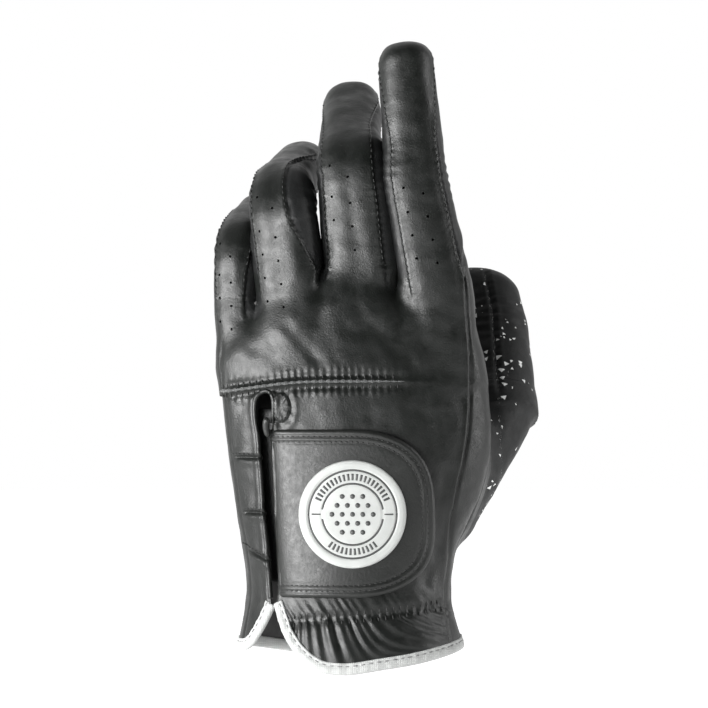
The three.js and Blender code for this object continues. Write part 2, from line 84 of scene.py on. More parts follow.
# The seam beside the thumb: height, x
THUMB_SEAM = np.array([
    [-10, 34], [20, 30.5], [32, 31.5], [52, 34], [64, 36.5], [76, 38.3], [96, 38.6], [124, 36.8],
])
# The cuff's lower edge on the back, on the little finger's side of the slit, and on the palm: x, height
CUFF_BACK = np.array([
    [-24.6, 17.2], [-22.4, 9.7], [-20, 5], [-17.3, 1.5], [-13.8, -1.5], [-10, -3.6], [-6, -4.4], [0, -4.5],
    [10, -3], [20, -1.5], [28, 0.2], [34, 1.8], [40, 3.8],
])
CUFF_PINKY = np.array([
    [-40, 2.3], [-36.5, 2.1], [-34, 2.6], [-32, 4.4], [-30, 7.3], [-27.5, 11.6], [-25, 16.8],
])
CUFF_PALM = np.array([
    [-40, 2.8], [-33, 2.3], [-25, 1], [-15, -0.3], [0, -0.5], [15, 0.4], [30, 2.4], [40, 4],
])
# Where the hand ends between the fingers: x, height
CROTCH = np.array([
    [-46, 104], [-38, 108], [-31, 113.5], [-19, 118], [-8, 123.5],
    [5, 121], [18, 118.5], [30, 115], [42, 109],
])
WEBS = {"web_index_middle": (17.5, 118), "web_middle_ring": (-8, 123), "web_ring_pinky": (-31, 113.5)}

# Sewn lines on the back, as x, z: the gathered seam over the knuckles, the elastic at the wrist, three tucks
KNUCKLE_SEAM = np.array([[-43, 85.8], [-39, 86], [-18, 88.6], [0, 89], [25.7, 89]])
WRIST_SEAM = np.array([[-20, 12], [2.9, 13.7], [30.6, 16.9]])
TUCKS = [np.array([[-38.8, 64.4], [-29.4, 64.4]]), np.array([[-34, 46.6], [-27.7, 46.6]]),
         np.array([[-35.3, 35.4], [-26.7, 31.4]])]
# Soft creases on the back: from, to, depth, width
FOLDS = [
    ((-31, 112), (-32, 100), 0.5, 2.6), ((-8, 121), (-11, 108), 0.45, 2.8), ((18, 117), (15, 104), 0.45, 3.0),
    ((-20, 106), (-8, 92), 0.35, 2.2), ((2, 112), (20, 94), 0.35, 2.6), ((30, 104), (22, 80), 0.4, 3.2),
    ((-36, 80), (-40, 60), 0.35, 2.4), ((31, 60), (27, 36), 0.5, 2.4), ((33, 46), (24, 24), 0.6, 2.2),
]

FINGERS = {
    "index": dict(lean=11.4, tilt=-1, turn=0, proximal=31, radius=60, bend=8, skew=50, distal=33,
                  width=(22, 17.2), depth=(19, 16.5), border=5, fill=(1.8, 0), shoulder=0, holes=(4, 1)),
    "middle": dict(lean=5.6, tilt=0, turn=7, proximal=31, radius=12, bend=56, skew=0, distal=29,
                   width=(21.6, 17.8), depth=(19, 16.2), border=4.5, fill=(0, 4.4), shoulder=0, holes=(3, 1)),
    "ring": dict(lean=7.3, tilt=0, turn=16.5, proximal=21, radius=11, bend=73, skew=0, distal=25.5,
                 width=(19, 16.4), depth=(18.4, 16), border=5, fill=(0, 3.6), shoulder=0.5, holes=(5, 0)),
    "pinky": dict(lean=1.6, tilt=1, turn=17, proximal=16, radius=9.5, bend=68, skew=0, distal=19.5,
                  width=(14.4, 13), depth=(16.4, 13.4), border=4.5, fill=(0, 1.2), shoulder=0, holes=(4, 0)),
}
# Where the seam between the back and the outer side wanders: distance along the finger, degrees from its side
WANDERING = {
    "ring": np.array([[0, 15], [5, 18], [12, 32], [20, 50], [29, 60], [42, 50], [55, 20], [68, 7]]),
    "pinky": np.array([[0, 50], [4, 50], [13.5, 40], [24, 18], [34, 22], [44, 14], [54, 7]]),
}
THUMB = dict(along=(-0.04, 0.47, 0.88), palmar=(-1, 0, 0), proximal=26, radius=60, bend=6, skew=0, distal=10,
             width=(24, 19.5), depth=(25.6, 22), border=3, fill=(0, 0), shoulder=0, holes=(0, 0))
THUMB_BASE = np.array([
    [31, 9.5, 46, 10.3], [36.2, 13.5, 57.5, 11.8], [41.6, 18.5, 68, 12.6], [46.9, 23.6, 77.5, 13],
])
THUMB_SLANT = 0.3             # the thumb's end slopes down, away from the hand
TIP_CAP = 8.0
TIP_POWER = 2.6
SEAM_ANGLE = 40.0             # a finger's four seams lie this far, in degrees, from the middle of its sides
HOLE_RADIUS = 0.44
HOLE_PITCH = 7.6
HOLE_ANGLES = (-115, -86)     # the two columns of holes, round the finger from its thumb side

TAB = dict(left=-25.5, lean=0.052, right=26.2, middle=46.5, half_height=27, corner=3, shoulder=2.2)
TAB_LIFT = 2.9                # the tab's upper face, above the back of the hand
TAB_ROLL = 9.0                # the width over which it rolls down into the slit
TAB_SEAMS = (2.2, 4.0)        # its two rows of stitches, from its rim
# The oval patch sewn beside the slit's round head
REINFORCEMENT = dict(x=-22.4, z=80.6, half_width=3.2, half_height=5)
BADGE = dict(x=0.5, z=46.5, radius=17.25, ring=14.1, core=9.8)
TAPE = 3.4                    # width of the binding tape
TAPE_SEAM = 2.35              # its row of stitches, from the cuff's edge
FRONT_LIGHT = 0.02            # the studio's brightness in front of the glove; behind it, it is 1


# ---------------------------------------------------------------- numbers and curves

def smoothstep(x, low, high):
    t = np.clip((x - low) / (high - low), 0, 1)
    return t * t * (3 - 2 * t)


def through(table, at, column=1):
    """A smooth curve through a table's rows: the value of one column where the first column equals `at`."""
    x, y = table[:, 0], table[:, column]
    at = np.clip(at, x[0], x[-1])
    i = np.clip(np.searchsorted(x, at, side="right") - 1, 0, len(x) - 2)
    before, after = np.maximum(i - 1, 0), np.minimum(i + 2, len(x) - 1)
    span = x[i + 1] - x[i]
    start = (y[i + 1] - y[before]) / (x[i + 1] - x[before]) * span
    end = (y[after] - y[i]) / (x[after] - x[i]) * span
    t = (at - x[i]) / span
    return ((2 * t**3 - 3 * t**2 + 1) * y[i] + (t**3 - 2 * t**2 + t) * start
            + (-2 * t**3 + 3 * t**2) * y[i + 1] + (t**3 - t**2) * end)


def unit(v):
    v = np.asarray(v, float)
    return v / np.maximum(np.linalg.norm(v, axis=-1, keepdims=True), 1e-12)


def rotated(v, axis, angle):
    """Vector v turned about a unit axis by each of the angles."""
    angle = np.asarray(angle)[..., None]
    v = np.asarray(v, float)
    turned = v * np.cos(angle) + np.cross(axis, v) * np.sin(angle)
    return turned + axis * np.dot(axis, v) * (1 - np.cos(angle))


def section(angle, power=ROUND):
    c, s = np.cos(angle), np.sin(angle)
    return np.sign(c) * np.abs(c) ** (2 / power), np.sign(s) * np.abs(s) ** (2 / power)


def norm_distance(u, n, a, b, w=0.0, cap=TIP_CAP, power=ROUND):
    """About how far a point lies outside a superelliptic section; w is how far it is into a round end."""
    tiny = 1e-6
    ru, rn = np.abs(u) / a, np.abs(n) / b
    r = (ru**power + rn**power + np.abs(w) ** power + tiny) ** (1 / power)
    slope = r ** (1 - power) * np.sqrt((ru ** (power - 1) / a) ** 2 + (rn ** (power - 1) / b) ** 2
                                       + (np.abs(w) ** (power - 1) / cap) ** 2) + tiny
    return (r - 1) / np.maximum(slope, 1 / np.maximum(a, b))


def smooth_min(a, b, k):
    h = np.clip(0.5 + 0.5 * (b - a) / k, 0, 1)
    return b * (1 - h) + a * h - k * h * (1 - h)


def ridge(distance, width):
    """1 on a line, falling away smoothly on both sides of it."""
    return np.exp(-((distance / width) ** 2))


def waves(distance, pitch, phase=0.0):
    """A cosine that repeats every `pitch` millimetres."""
    return np.cos(2 * math.pi * distance / pitch + phase)


def ripple(p, wavelength, seed):
    """Smooth random waves, from about -1 to 1."""
    random = np.random.default_rng(seed)
    total = np.zeros(len(p))
    for _ in range(7):
        direction = unit(random.normal(size=3)) * random.uniform(0.7, 1.4)
        total += np.sin(p @ direction * (2 * math.pi / wavelength) + random.uniform(0, 2 * math.pi))
    return total / 3


def line_distance(x, z, line):
    """How far points lie from a run of straight stretches."""
    best = np.full(len(x), 1e9)
    p = np.column_stack([x, z])
    for a, b in zip(line[:-1], line[1:]):
        d = b - a
        t = np.clip((p - a) @ d / d.dot(d), 0, 1)
        best = np.minimum(best, np.linalg.norm(p - a - d * t[:, None], axis=1))
    return best


# ---------------------------------------------------------------- digits

class Digit:
    """A finger or the thumb: a superelliptic tube along a centre line that is straight but for one bend."""

    def __init__(self, name, spec):
        self.name, self.spec = name, spec
        self.base = np.array(JOINTS[f"{name}_root"]["pos_m"]) / MM
        if "along" in spec:
            along, palmar = unit(spec["along"]), np.array(spec["palmar"], float)
        else:
            lean, tilt, turn = (math.radians(spec[k]) for k in ("lean", "tilt", "turn"))
            along = unit([-math.sin(lean), math.sin(tilt), math.cos(lean)])
            palmar = np.array([math.sin(turn), math.cos(turn), 0])
        palmar = unit(palmar - along * palmar.dot(along))
        across = np.cross(palmar, along)
        skew = math.radians(spec["skew"])
        self.along, self.palmar, self.across = along, palmar, across
        self.towards = palmar * math.cos(skew) + across * math.sin(skew)
        self.axis = np.cross(along, self.towards)
        self.bend = math.radians(spec["bend"])
        self.arc = spec["radius"] * self.bend
        self.length = spec["proximal"] + self.arc + spec["distal"] + TIP_CAP
        self.middle = spec["proximal"] + self.arc / 2
        self.border = spec["border"]
        self.cut = self.middle - (9 if name in ("index", "middle", "thumb") else 7)
        self.tip_start = self.length - TIP_CAP

    def centre(self, s):
        return self.centre_line(np.array(float(s)))[0]

    def places(self):
        """What each half of the digit rides on: two bodies, and two points along its centre line between
        them.
        """
        lower, upper = f"{self.name}_lower", f"{self.name}_upper"
        return {
            "lower": ("hand", lower, self.centre(self.border), self.centre(min(self.border + 14, self.cut))),
            "upper": (lower, upper, self.centre(self.cut), self.centre(self.middle + 8)),
        }

    def centre_line(self, s):
        spec = self.spec
        straight = np.minimum(s, spec["proximal"])[..., None]
        angle = np.clip((s - spec["proximal"]) / spec["radius"], 0, self.bend)
        beyond = np.maximum(0, s - spec["proximal"] - self.arc)[..., None]
        centre = (self.base + self.along * straight + self.along * (spec["radius"] * np.sin(angle))[..., None]
                  + self.towards * (spec["radius"] * (1 - np.cos(angle)))[..., None]
                  + rotated(self.along, self.axis, angle) * beyond)
        return centre, angle

    def sizes(self, s):
        share = np.clip(s / self.length, 0, 1)
        (w0, w1), (d0, d1) = self.spec["width"], self.spec["depth"]
        return (w0 + (w1 - w0) * share) / 2, (d0 + (d1 - d0) * share) / 2

    def surface(self, s, angle, lift=0.0):
        """Points on the skin at distance s along the digit and at an angle round it."""
        centre, bent = self.centre_line(s)
        a, b = self.sizes(s)
        left = np.clip((s - self.length + TIP_CAP) / TIP_CAP, 0, 1)
        round_ = (1 - left**TIP_POWER) ** (1 / TIP_POWER)
        x, y = section(angle)
        across, palmar = (rotated(v, self.axis, bent) for v in (self.across, self.palmar))
        point = (centre + across * ((a + lift) * round_ * x)[..., None]
                 + palmar * ((b + lift) * round_ * y)[..., None])
        if self.name == "thumb":
            slope = THUMB_SLANT * smoothstep(s, self.cut, self.length - 6) * (b * round_ * y - 2)
            point = point + self.along * slope[..., None]
        return point

    def locate(self, p):
        """Each point's distance along the digit, its offsets across and to the palm, and its clearance."""
        spec = self.spec
        q = p - self.base
        along = q @ self.along
        towards = q @ self.towards
        start = spec["proximal"]
        angle = np.arctan2(along - start, np.maximum(spec["radius"] - towards, 1e-3))
        s = np.where(along < start, along, start + np.clip(angle, 0, self.bend) * spec["radius"])
        end, bent_end = self.centre_line(np.array(start + self.arc))
        beyond = (p - end) @ rotated(self.along, self.axis, bent_end)
        past = (s >= start + self.arc - 1e-9) | ((beyond > 0) & (along > start))
        s = np.where(past, start + self.arc + np.maximum(beyond, 0), s)
        centre, bent = self.centre_line(np.clip(s, -60, self.length - TIP_CAP))
        across, palmar = (rotated(v, self.axis, bent) for v in (self.across, self.palmar))
        d = p - centre
        u, n = np.sum(d * across, axis=-1), np.sum(d * palmar, axis=-1)
        a, b = self.sizes(s)
        w = np.maximum(0, s - self.length + TIP_CAP) / TIP_CAP
        return s, u, n, norm_distance(u, n, a, b, w)

    def angle_of(self, s, u, n):
        """The angle round the digit of points at offsets u and n."""
        a, b = self.sizes(s)
        x, y = u / a, n / b
        return np.arctan2(np.sign(y) * np.abs(y) ** (ROUND / 2), np.sign(x) * np.abs(x) ** (ROUND / 2))

    def seam_angle(self, s, angle):
        """How far the nearest seam lies from the middle of its side. At the tip all four draw together."""
        if self.name == "thumb":
            return np.zeros(np.shape(s))
        plain = SEAM_ANGLE - (SEAM_ANGLE - 7) * smoothstep(s, self.length * 0.55, self.length - 1)
        if self.name not in WANDERING:
            return np.radians(plain)
        outer_back = (np.cos(angle) > 0) & (np.sin(angle) < 0)
        return np.radians(np.where(outer_back, through(WANDERING[self.name], s), plain))


# ---------------------------------------------------------------- the hand's distance field

def hand_sections(z):
    return (through(HAND, z, column) for column in (1, 2, 3, 4))


def body_distance(p):
    x, y, z = p[:, 0], p[:, 1], p[:, 2]
    left, right, back, palm = hand_sections(z)
    a, b = (right - left) / 2, (palm - back) / 2
    u = x - (left + right) / 2
    c = np.clip(u / a, -1.15, 1.15)
    n = y - (back + palm) / 2 - PALM_ARCH * c**2 + PALM_TILT * c
    w = np.maximum(0, z - through(CROTCH, x) + HAND_CAP) / HAND_CAP
    return norm_distance(u, n, a, b, w, HAND_CAP)


def tube_distance(p, line):
    """Distance to a round tube whose radius changes along a centre line of rows x, y, z, radius."""
    best = np.full(len(p), 1e9)
    for start, end in zip(line[:-1], line[1:]):
        axis = end[:3] - start[:3]
        t = np.clip((p - start[:3]) @ axis / axis.dot(axis), 0, 1)
        radius = start[3] + (end[3] - start[3]) * t
        best = np.minimum(best, np.linalg.norm(p - start[:3] - axis * t[:, None], axis=1) - radius)
    return best


DIGITS = {name: Digit(name, spec) for name, spec in {**FINGERS, "thumb": THUMB}.items()}


def thumb_distance(p):
    rows = np.linspace(0, 1, 13)
    table = np.column_stack([np.linspace(0, 1, len(THUMB_BASE)), THUMB_BASE])
    line = np.column_stack([through(table, rows, column) for column in (1, 2, 3, 4)])
    s, _, _, d = DIGITS["thumb"].locate(p)
    return smooth_min(tube_distance(p, line), np.maximum(d, -s - 4), 5)


def finger_distance(p, digit):
    """The finger, and below its base a root that sinks into the hand."""
    s, _, _, d = digit.locate(p)
    sink = np.clip(-s, 0, 40)
    return np.maximum(d + 0.02 * sink**1.6, -s - 30)


def hand_distance(p):
    """The hand with all its digits: smooth where a digit leaves the hand, sharp between two fingers."""
    body = body_distance(p)
    d = body.copy()
    high = np.flatnonzero(p[:, 2] > 84)
    for name in FINGERS:
        near = finger_distance(p[high], DIGITS[name])
        d[high] = np.minimum(d[high], smooth_min(body[high], near, 7))
    right = np.flatnonzero(p[:, 0] > 5)
    d[right] = smooth_min(d[right], thumb_distance(p[right]), 7)
    return d


def gradient(distance, points, step=0.05):
    columns = []
    for axis in range(3):
        shift = np.zeros(3)
        shift[axis] = step
        columns.append((distance(points + shift) - distance(points - shift)) / (2 * step))
    return np.column_stack(columns)


def project(distance, points, rounds=3):
    for _ in range(rounds):
        g = gradient(distance, points)
        points = points - g * (distance(points) / np.maximum(np.sum(g * g, axis=1), 1e-6))[:, None]
    return points


# ---------------------------------------------------------------- folds, seams and gathers

def digit_relief(digit, s, angle):
    """How far a digit's leather stands above its smooth form: seams, puckers, and folds where it bends."""
    a, b = digit.sizes(s)
    from_side = np.abs(np.arctan2(np.sin(angle), np.abs(np.cos(angle))))
    seam = (from_side - digit.seam_angle(s, angle)) * (a + b) / 2
    start = smoothstep(s, -6, 2) * (1 - smoothstep(s, digit.length - 6, digit.length - 1))
    lift = start * (0.28 * ridge(seam - 1.0, 0.8) - 0.55 * ridge(seam, 0.5) - 0.12 * ridge(seam + 1.2, 1.0))
    lift += start * 0.10 * waves(s, 2.3) * ridge(seam - 0.6, 1.3)
    inner, outer = digit.spec["fill"]
    bulge = inner * np.clip(-np.cos(angle), 0, 1) ** 1.5 + outer * np.clip(np.cos(angle), 0, 1) ** 1.5
    above_joint = smoothstep(s, digit.middle, digit.middle + 14)
    before_tip = 1 - smoothstep(s, digit.length - 14, digit.length - 3)
    lift += bulge * smoothstep(s, -8, 3) * (1 - 0.8 * above_joint) * before_tip
    inner_back = np.clip(np.cos(angle - math.radians(-140)), 0, 1) ** 2
    lift += digit.spec["shoulder"] * inner_back * ridge(s - digit.middle - 6, 13)
    from_joint = s - digit.middle
    inside = np.clip(np.sin(angle), 0, 1)
    lift += 0.55 * inside * waves(from_joint, 4.2) * ridge(from_joint, 9)
    sideways = np.clip(np.abs(np.cos(angle)), 0, 1) ** 2
    lift += 0.22 * sideways * waves(from_joint, 3.4, angle) * ridge(from_joint, 7)
    return lift


def wrist_folds(x, z):
    """Gathers that fan out of the elastic at the wrist, down to the hem and up under the tab."""
    from_seam = z - through(WRIST_SEAM, x)
    fan = 0.02 * (x + 17) * (1 + 0.8 * smoothstep(x, 0, 26))
    u = x + from_seam * np.where(from_seam > 0, 0.6, fan)
    wave = np.sin(2 * math.pi * u / 2.9 + 1.6 * np.sin(u / 2.7))
    wave += 0.8 * np.sin(2 * math.pi * u / 5.2 + 1.4 * np.sin(u / 5))
    reach = np.where(from_seam > 0, 0.5 * ridge(from_seam, 6), ridge(from_seam, 16))
    strength = (0.36 - 0.18 * smoothstep(x, -6, 10)) * (0.75 + 0.25 * np.sin(u / 1.9))
    seam = -0.6 * ridge(from_seam, 1.9) + 0.16 * waves(x, 2.5) * ridge(from_seam, 1.5)
    return seam + strength * wave * reach * (1 - 0.6 * ridge(from_seam, 1.4))


def hand_relief(p):
    """How far the hand's leather stands above its smooth form."""
    x, y, z = p.T
    on_back = smoothstep(MID_Y - y, 0, 4)
    from_seam = z - through(KNUCKLE_SEAM, x)
    strength = (1 - 0.9 * smoothstep(x, 0, 22)) * (1 - smoothstep(x, 26, 30)) * on_back
    lift = strength * (0.75 * ridge(from_seam, 0.75) - 0.4 * ridge(np.abs(from_seam) - 1.9, 1.1))
    puckers = waves(x, 2.3, 0.6 * np.sin(x / 3))
    lift += strength * 0.13 * puckers * ridge(np.abs(from_seam) - 2.4, 2.0)
    for tuck in TUCKS:
        far = line_distance(x, z, tuck)
        lift += on_back * (0.3 * ridge(far - 1.6, 1.3) - 0.75 * ridge(far, 0.55))
    side = x - through(THUMB_SEAM, z)
    lift += on_back * (0.3 * ridge(side + 1.0, 0.8) - 0.5 * ridge(side, 0.5))
    sides = smoothstep(np.abs(x), 30, 34)
    lift -= 0.4 * ridge(y - MID_Y, 0.6) * sides * (1 - smoothstep(z, 96, 104))
    right_of_slit = smoothstep(x, -27, -21) * (1 - 0.6 * smoothstep(x, 28, 34))
    lift += (0.3 + 0.7 * on_back) * wrist_folds(x, z) * right_of_slit
    slit_gap = np.abs(x - through(SLIT, z)) - through(SLIT, z, 2) / 2
    rim = (1 - smoothstep(z, SLIT_HEAD - 1, SLIT_HEAD + 2)) * on_back
    lift += 0.45 * rim * ridge(slit_gap - 0.9, 0.9)
    out_x = (x - REINFORCEMENT["x"]) / REINFORCEMENT["half_width"]
    out_z = (z - REINFORCEMENT["z"]) / REINFORCEMENT["half_height"]
    ring, turn = np.hypot(out_x, out_z), np.arctan2(out_z, out_x)
    beside_slit = smoothstep(x, -26, -24.5) * on_back
    gathers = 0.06 * np.cos(13 * turn) + 0.12 * np.cos(5 * turn + z) - 0.1
    lift += beside_slit * ridge((ring - 0.8) * 4, 2) * gathers
    lift += 0.3 * beside_slit * ridge((ring - 1.45) * 4, 1.2)
    for start, end, depth, width in FOLDS:
        lift -= depth * on_back * ridge(line_distance(x, z, np.array([start, end], float)), width)
    return lift


def relief(p):
    """The same folds and seams everywhere, so that the pieces meet however they are cut."""
    lift = hand_relief(p) + 0.16 * ripple(p, 17, 5) + 0.07 * ripple(p, 7.5, 6)
    for digit in DIGITS.values():
        s, u, n, d = digit.locate(p)
        near = np.flatnonzero((d < 3.5) & (s > -7))
        angle = digit.angle_of(s[near], u[near], n[near])
        lift[near] += digit_relief(digit, s[near], angle) * (1 - smoothstep(d[near], 1, 3.5))
    return lift


# ---------------------------------------------------------------- meshes as arrays

def surface_nets(distance, low, high, step):
    """A triangle mesh of a distance field's zero surface, one vertex to each cell that it crosses."""
    axes = [np.arange(a, b + step, step) for a, b in zip(low, high)]
    shape = tuple(len(a) for a in axes)
    grid = np.empty(shape)
    for i, x in enumerate(axes[0]):
        yy, zz = np.meshgrid(axes[1], axes[2], indexing="ij")
        grid[i] = distance(np.column_stack([np.full(yy.size, x), yy.ravel(), zz.ravel()])).reshape(yy.shape)
    inside = grid < 0
    total = np.zeros(tuple(n - 1 for n in shape) + (3,))
    count = np.zeros(tuple(n - 1 for n in shape))
    corners = [(i, j, k) for i in (0, 1) for j in (0, 1) for k in (0, 1)]

    def corner(array, c):
        return array[c[0]:c[0] + shape[0] - 1, c[1]:c[1] + shape[1] - 1, c[2]:c[2] + shape[2] - 1]

    for a in corners:
        for axis in range(3):
            if a[axis]:
                continue
            b = tuple(1 if k == axis else a[k] for k in range(3))
            crosses = corner(inside, a) != corner(inside, b)
            ga, gb = corner(grid, a), corner(grid, b)
            t = np.where(crosses, ga / np.where(crosses, ga - gb, 1), 0)
            for k in range(3):
                total[..., k] += np.where(crosses, a[k] + (t if k == axis else 0), 0)
            count += crosses
    active = count > 0
    index = np.full(active.shape, -1)
    index[active] = np.arange(active.sum())
    cells = np.argwhere(active)
    points = (cells + total[active] / count[active][:, None]) * step + np.array([a[0] for a in axes])
    patches = []
    for axis in range(3):
        b, c = (axis + 1) % 3, (axis + 2) % 3
        first, second = [slice(None)] * 3, [slice(None)] * 3
        first[axis], second[axis] = slice(0, -1), slice(1, None)
        crosses = inside[tuple(first)] != inside[tuple(second)]
        where = np.argwhere(crosses)
        keep = (where[:, b] > 0) & (where[:, b] < shape[b] - 1)
        keep &= (where[:, c] > 0) & (where[:, c] < shape[c] - 1)
        where = where[keep]
        flip = inside[tuple(first)][tuple(where.T)]
        around = []
        for db, dc in ((-1, -1), (0, -1), (0, 0), (-1, 0)):
            cell = where.copy()
            cell[:, b] += db
            cell[:, c] += dc
            around.append(index[tuple(cell.T)])
        quad = np.column_stack(around)
        quad[~flip] = quad[~flip][:, ::-1]
        patches.append(quad)
    return points, quads(*np.concatenate(patches).T)


def quads(a, b, c, d):
    """Two triangles for each cell of a grid, from the vertex numbers at its four corners."""
    return np.concatenate([np.stack(t, axis=-1).reshape(-1, 3) for t in ((a, b, c), (a, c, d))])


def thickened(faces, n):
    """A sheet's faces, a second sheet's whose vertices follow its n vertices, and the rim between them."""
    rim = boundary_edges(faces)
    a, b = rim[:, 0], rim[:, 1]
    rim_faces = [np.column_stack([b, a, a + n]), np.column_stack([b, a + n, b + n])]
    return np.concatenate([faces, faces[:, ::-1] + n, *rim_faces])


def rod_faces(rows, sides):
    """The faces of a closed rod made of rings of vertices."""
    index = np.arange(rows * sides).reshape(rows, sides)
    turn = np.roll(index, -1, axis=1)
    first, last = index[0], index[-1]
    caps = [[first[0], first[k + 1], first[k]] for k in range(1, sides - 1)]
    caps += [[last[0], last[k], last[k + 1]] for k in range(1, sides - 1)]
    return np.concatenate([quads(index[:-1], turn[:-1], turn[1:], index[1:]), np.array(caps)])


def vertex_normals(points, faces):
    corners = points[faces]
    normal = np.cross(corners[:, 1] - corners[:, 0], corners[:, 2] - corners[:, 0])
    total = np.zeros_like(points)
    for k in range(3):
        np.add.at(total, faces[:, k], normal)
    return unit(total)


def relax(points, faces, share=0.5):
    """Moves each vertex towards the middle of its neighbours, along the surface."""
    total, count = np.zeros_like(points), np.zeros(len(points))
    for a, b in ((0, 1), (1, 2), (2, 0), (1, 0), (2, 1), (0, 2)):
        np.add.at(total, faces[:, a], points[faces[:, b]])
        np.add.at(count, faces[:, a], 1)
    shift = (total / np.maximum(count, 1)[:, None] - points) * share
    normal = vertex_normals(points, faces)
    return points + shift - normal * np.sum(shift * normal, axis=1, keepdims=True)


class Skin:
    """A triangle mesh whose vertices carry named values, all cut and refined together."""

    def __init__(self, points, faces, **fields):
        self.points, self.faces = points, faces
        self.fields = {name: np.asarray(v, float) for name, v in fields.items()}
        self.normals = None

    def split_edges(self, pick, share):
        """Puts a vertex on each picked edge, at its share of the way along, and re-cuts the triangles."""
        f = self.faces
        ends = np.concatenate([f[:, [0, 1]], f[:, [1, 2]], f[:, [2, 0]]])
        low = np.sort(ends, axis=1)
        edges, inverse = np.unique(low, axis=0, return_inverse=True)
        inverse = inverse.reshape(-1)
        a, b = edges[:, 0], edges[:, 1]
        chosen = pick(a, b)
        t = share(a[chosen], b[chosen])
        new = np.full(len(edges), -1)
        new[chosen] = len(self.points) + np.arange(chosen.sum())
        a, b = a[chosen], b[chosen]

        def blend(values):
            w = t if values.ndim == 1 else t[:, None]
            return np.concatenate([values, values[a] * (1 - w) + values[b] * w])

        self.points = blend(self.points)
        self.fields = {name: blend(v) for name, v in self.fields.items()}
        if self.normals is not None:
            self.normals = unit(blend(self.normals))
        m = new[inverse].reshape(3, len(f)).T
        count = (m >= 0).sum(axis=1)
        out = [f[count == 0]]
        for turn in range(3):
            ft, mt = np.roll(f, -turn, axis=1), np.roll(m, -turn, axis=1)
            one = (count == 1) & (mt[:, 0] >= 0)
            out += [np.column_stack([ft[one, 0], mt[one, 0], ft[one, 2]]),
                    np.column_stack([mt[one, 0], ft[one, 1], ft[one, 2]])]
            two = (count == 2) & (mt[:, 2] < 0)
            out += [np.column_stack([mt[two, 0], ft[two, 1], mt[two, 1]]),
                    np.column_stack([ft[two, 0], mt[two, 0], mt[two, 1]]),
                    np.column_stack([ft[two, 0], mt[two, 1], ft[two, 2]])]
        three = count == 3
        f3, m3 = f[three], m[three]
        out += [np.column_stack([f3[:, 0], m3[:, 0], m3[:, 2]]),
                np.column_stack([m3[:, 0], f3[:, 1], m3[:, 1]]),
                np.column_stack([m3[:, 2], m3[:, 1], f3[:, 2]]), m3]
        self.faces = np.concatenate(out)

    def cut(self, field):
        """Makes the zero line of a field run along edges. Vertices almost on the line are put on it."""
        def share(a, b):
            v = self.fields[field]
            return v[a] / (v[a] - v[b])

        def pick(a, b):
            v = self.fields[field]
            crosses = v[a] * v[b] < 0
            t = share(a[crosses], b[crosses])
            for ends, close in ((a[crosses], t < 0.12), (b[crosses], t > 0.88)):
                v[ends[close]] = 0
            return v[a] * v[b] < 0

        self.split_edges(pick, share)

    def face_mean(self, field):
        return self.fields[field][self.faces].mean(axis=1)

    def part(self, keep):
        """The part of the skin whose faces are kept, with its own vertices."""
        faces = self.faces[keep]
        used, compact = np.unique(faces, return_inverse=True)
        fields = {name: values[used] for name, values in self.fields.items()}
        skin = Skin(self.points[used], compact.reshape(faces.shape), **fields)
        skin.normals = self.normals[used]
        return skin


def boundary_edges(faces):
    ends = np.concatenate([faces[:, [0, 1]], faces[:, [1, 2]], faces[:, [2, 0]]])
    _, inverse, count = np.unique(np.sort(ends, axis=1), axis=0, return_inverse=True, return_counts=True)
    return ends[count[inverse.reshape(-1)] == 1]


# ---------------------------------------------------------------- pieces

def add_mesh(name, points, faces, materials, place, replaces=(), normals=None, kinds=None):
    """A Blender object from arrays in millimetres. It rides on one body; given two, its transform is baked
    and it rides on neither.
    """
    mesh = bpy.data.meshes.new(name)
    mesh.from_pydata((points * MM).tolist(), [], faces.tolist())
    mesh.update()
    mesh.polygons.foreach_set("use_smooth", np.ones(len(faces), bool))
    if kinds is not None:
        mesh.polygons.foreach_set("material_index", kinds)
    for material in materials:
        mesh.materials.append(material)
    if normals is not None:
        mesh.normals_split_custom_set(normals.tolist())
    obj = bpy.data.objects.new(name, mesh)
    bpy.context.scene.collection.objects.link(obj)
    if isinstance(place, str):
        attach(obj, place)
    else:
        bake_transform(obj)
    if replaces:
        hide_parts(*replaces)
    return obj


def make_piece(name, skin, materials, place, replaces=(), thickness=LEATHER, attributes=()):
    """A skin made into a closed sheet: an outer face, an inner face and a rim."""
    faces = thickened(skin.faces, len(skin.points))
    points = np.concatenate([skin.points, skin.points - skin.normals * thickness])
    outer = len(skin.faces)
    kinds = np.zeros(len(faces), int)
    if len(materials) > 1:
        kinds[outer:2 * outer] = 1
    corner_normals = np.concatenate([skin.normals, -skin.normals])[faces].reshape(-1, 3)
    p = points[faces[2 * outer:]]
    flat = unit(np.cross(p[:, 1] - p[:, 0], p[:, 2] - p[:, 0]))
    corner_normals[6 * outer:] = np.repeat(flat, 3, axis=0)
    obj = add_mesh(name, points, faces, materials, place, replaces, corner_normals, kinds)
    for key in attributes:
        layer = obj.data.attributes.new(key, "FLOAT", "POINT")
        layer.data.foreach_set("value", np.tile(skin.fields[key], 2).astype(np.float32))
    return obj


def make_leather(node, skin, kind, place):
    """A piece of lined leather that stands for a node. Printed leather carries its print's coordinates."""
    attributes = ("print_u", "print_v") if kind == "printed" else ()
    make_piece(f"{node}_leather", skin, [LEATHERS[kind], LEATHERS["suede"]], place, [node],
               attributes=attributes)


def refine(skin, near):
    """Halves the edges whose two ends are both near something."""
    skin.split_edges(lambda a, b: near[a] & near[b], lambda a, b: np.full(len(a), 0.5))


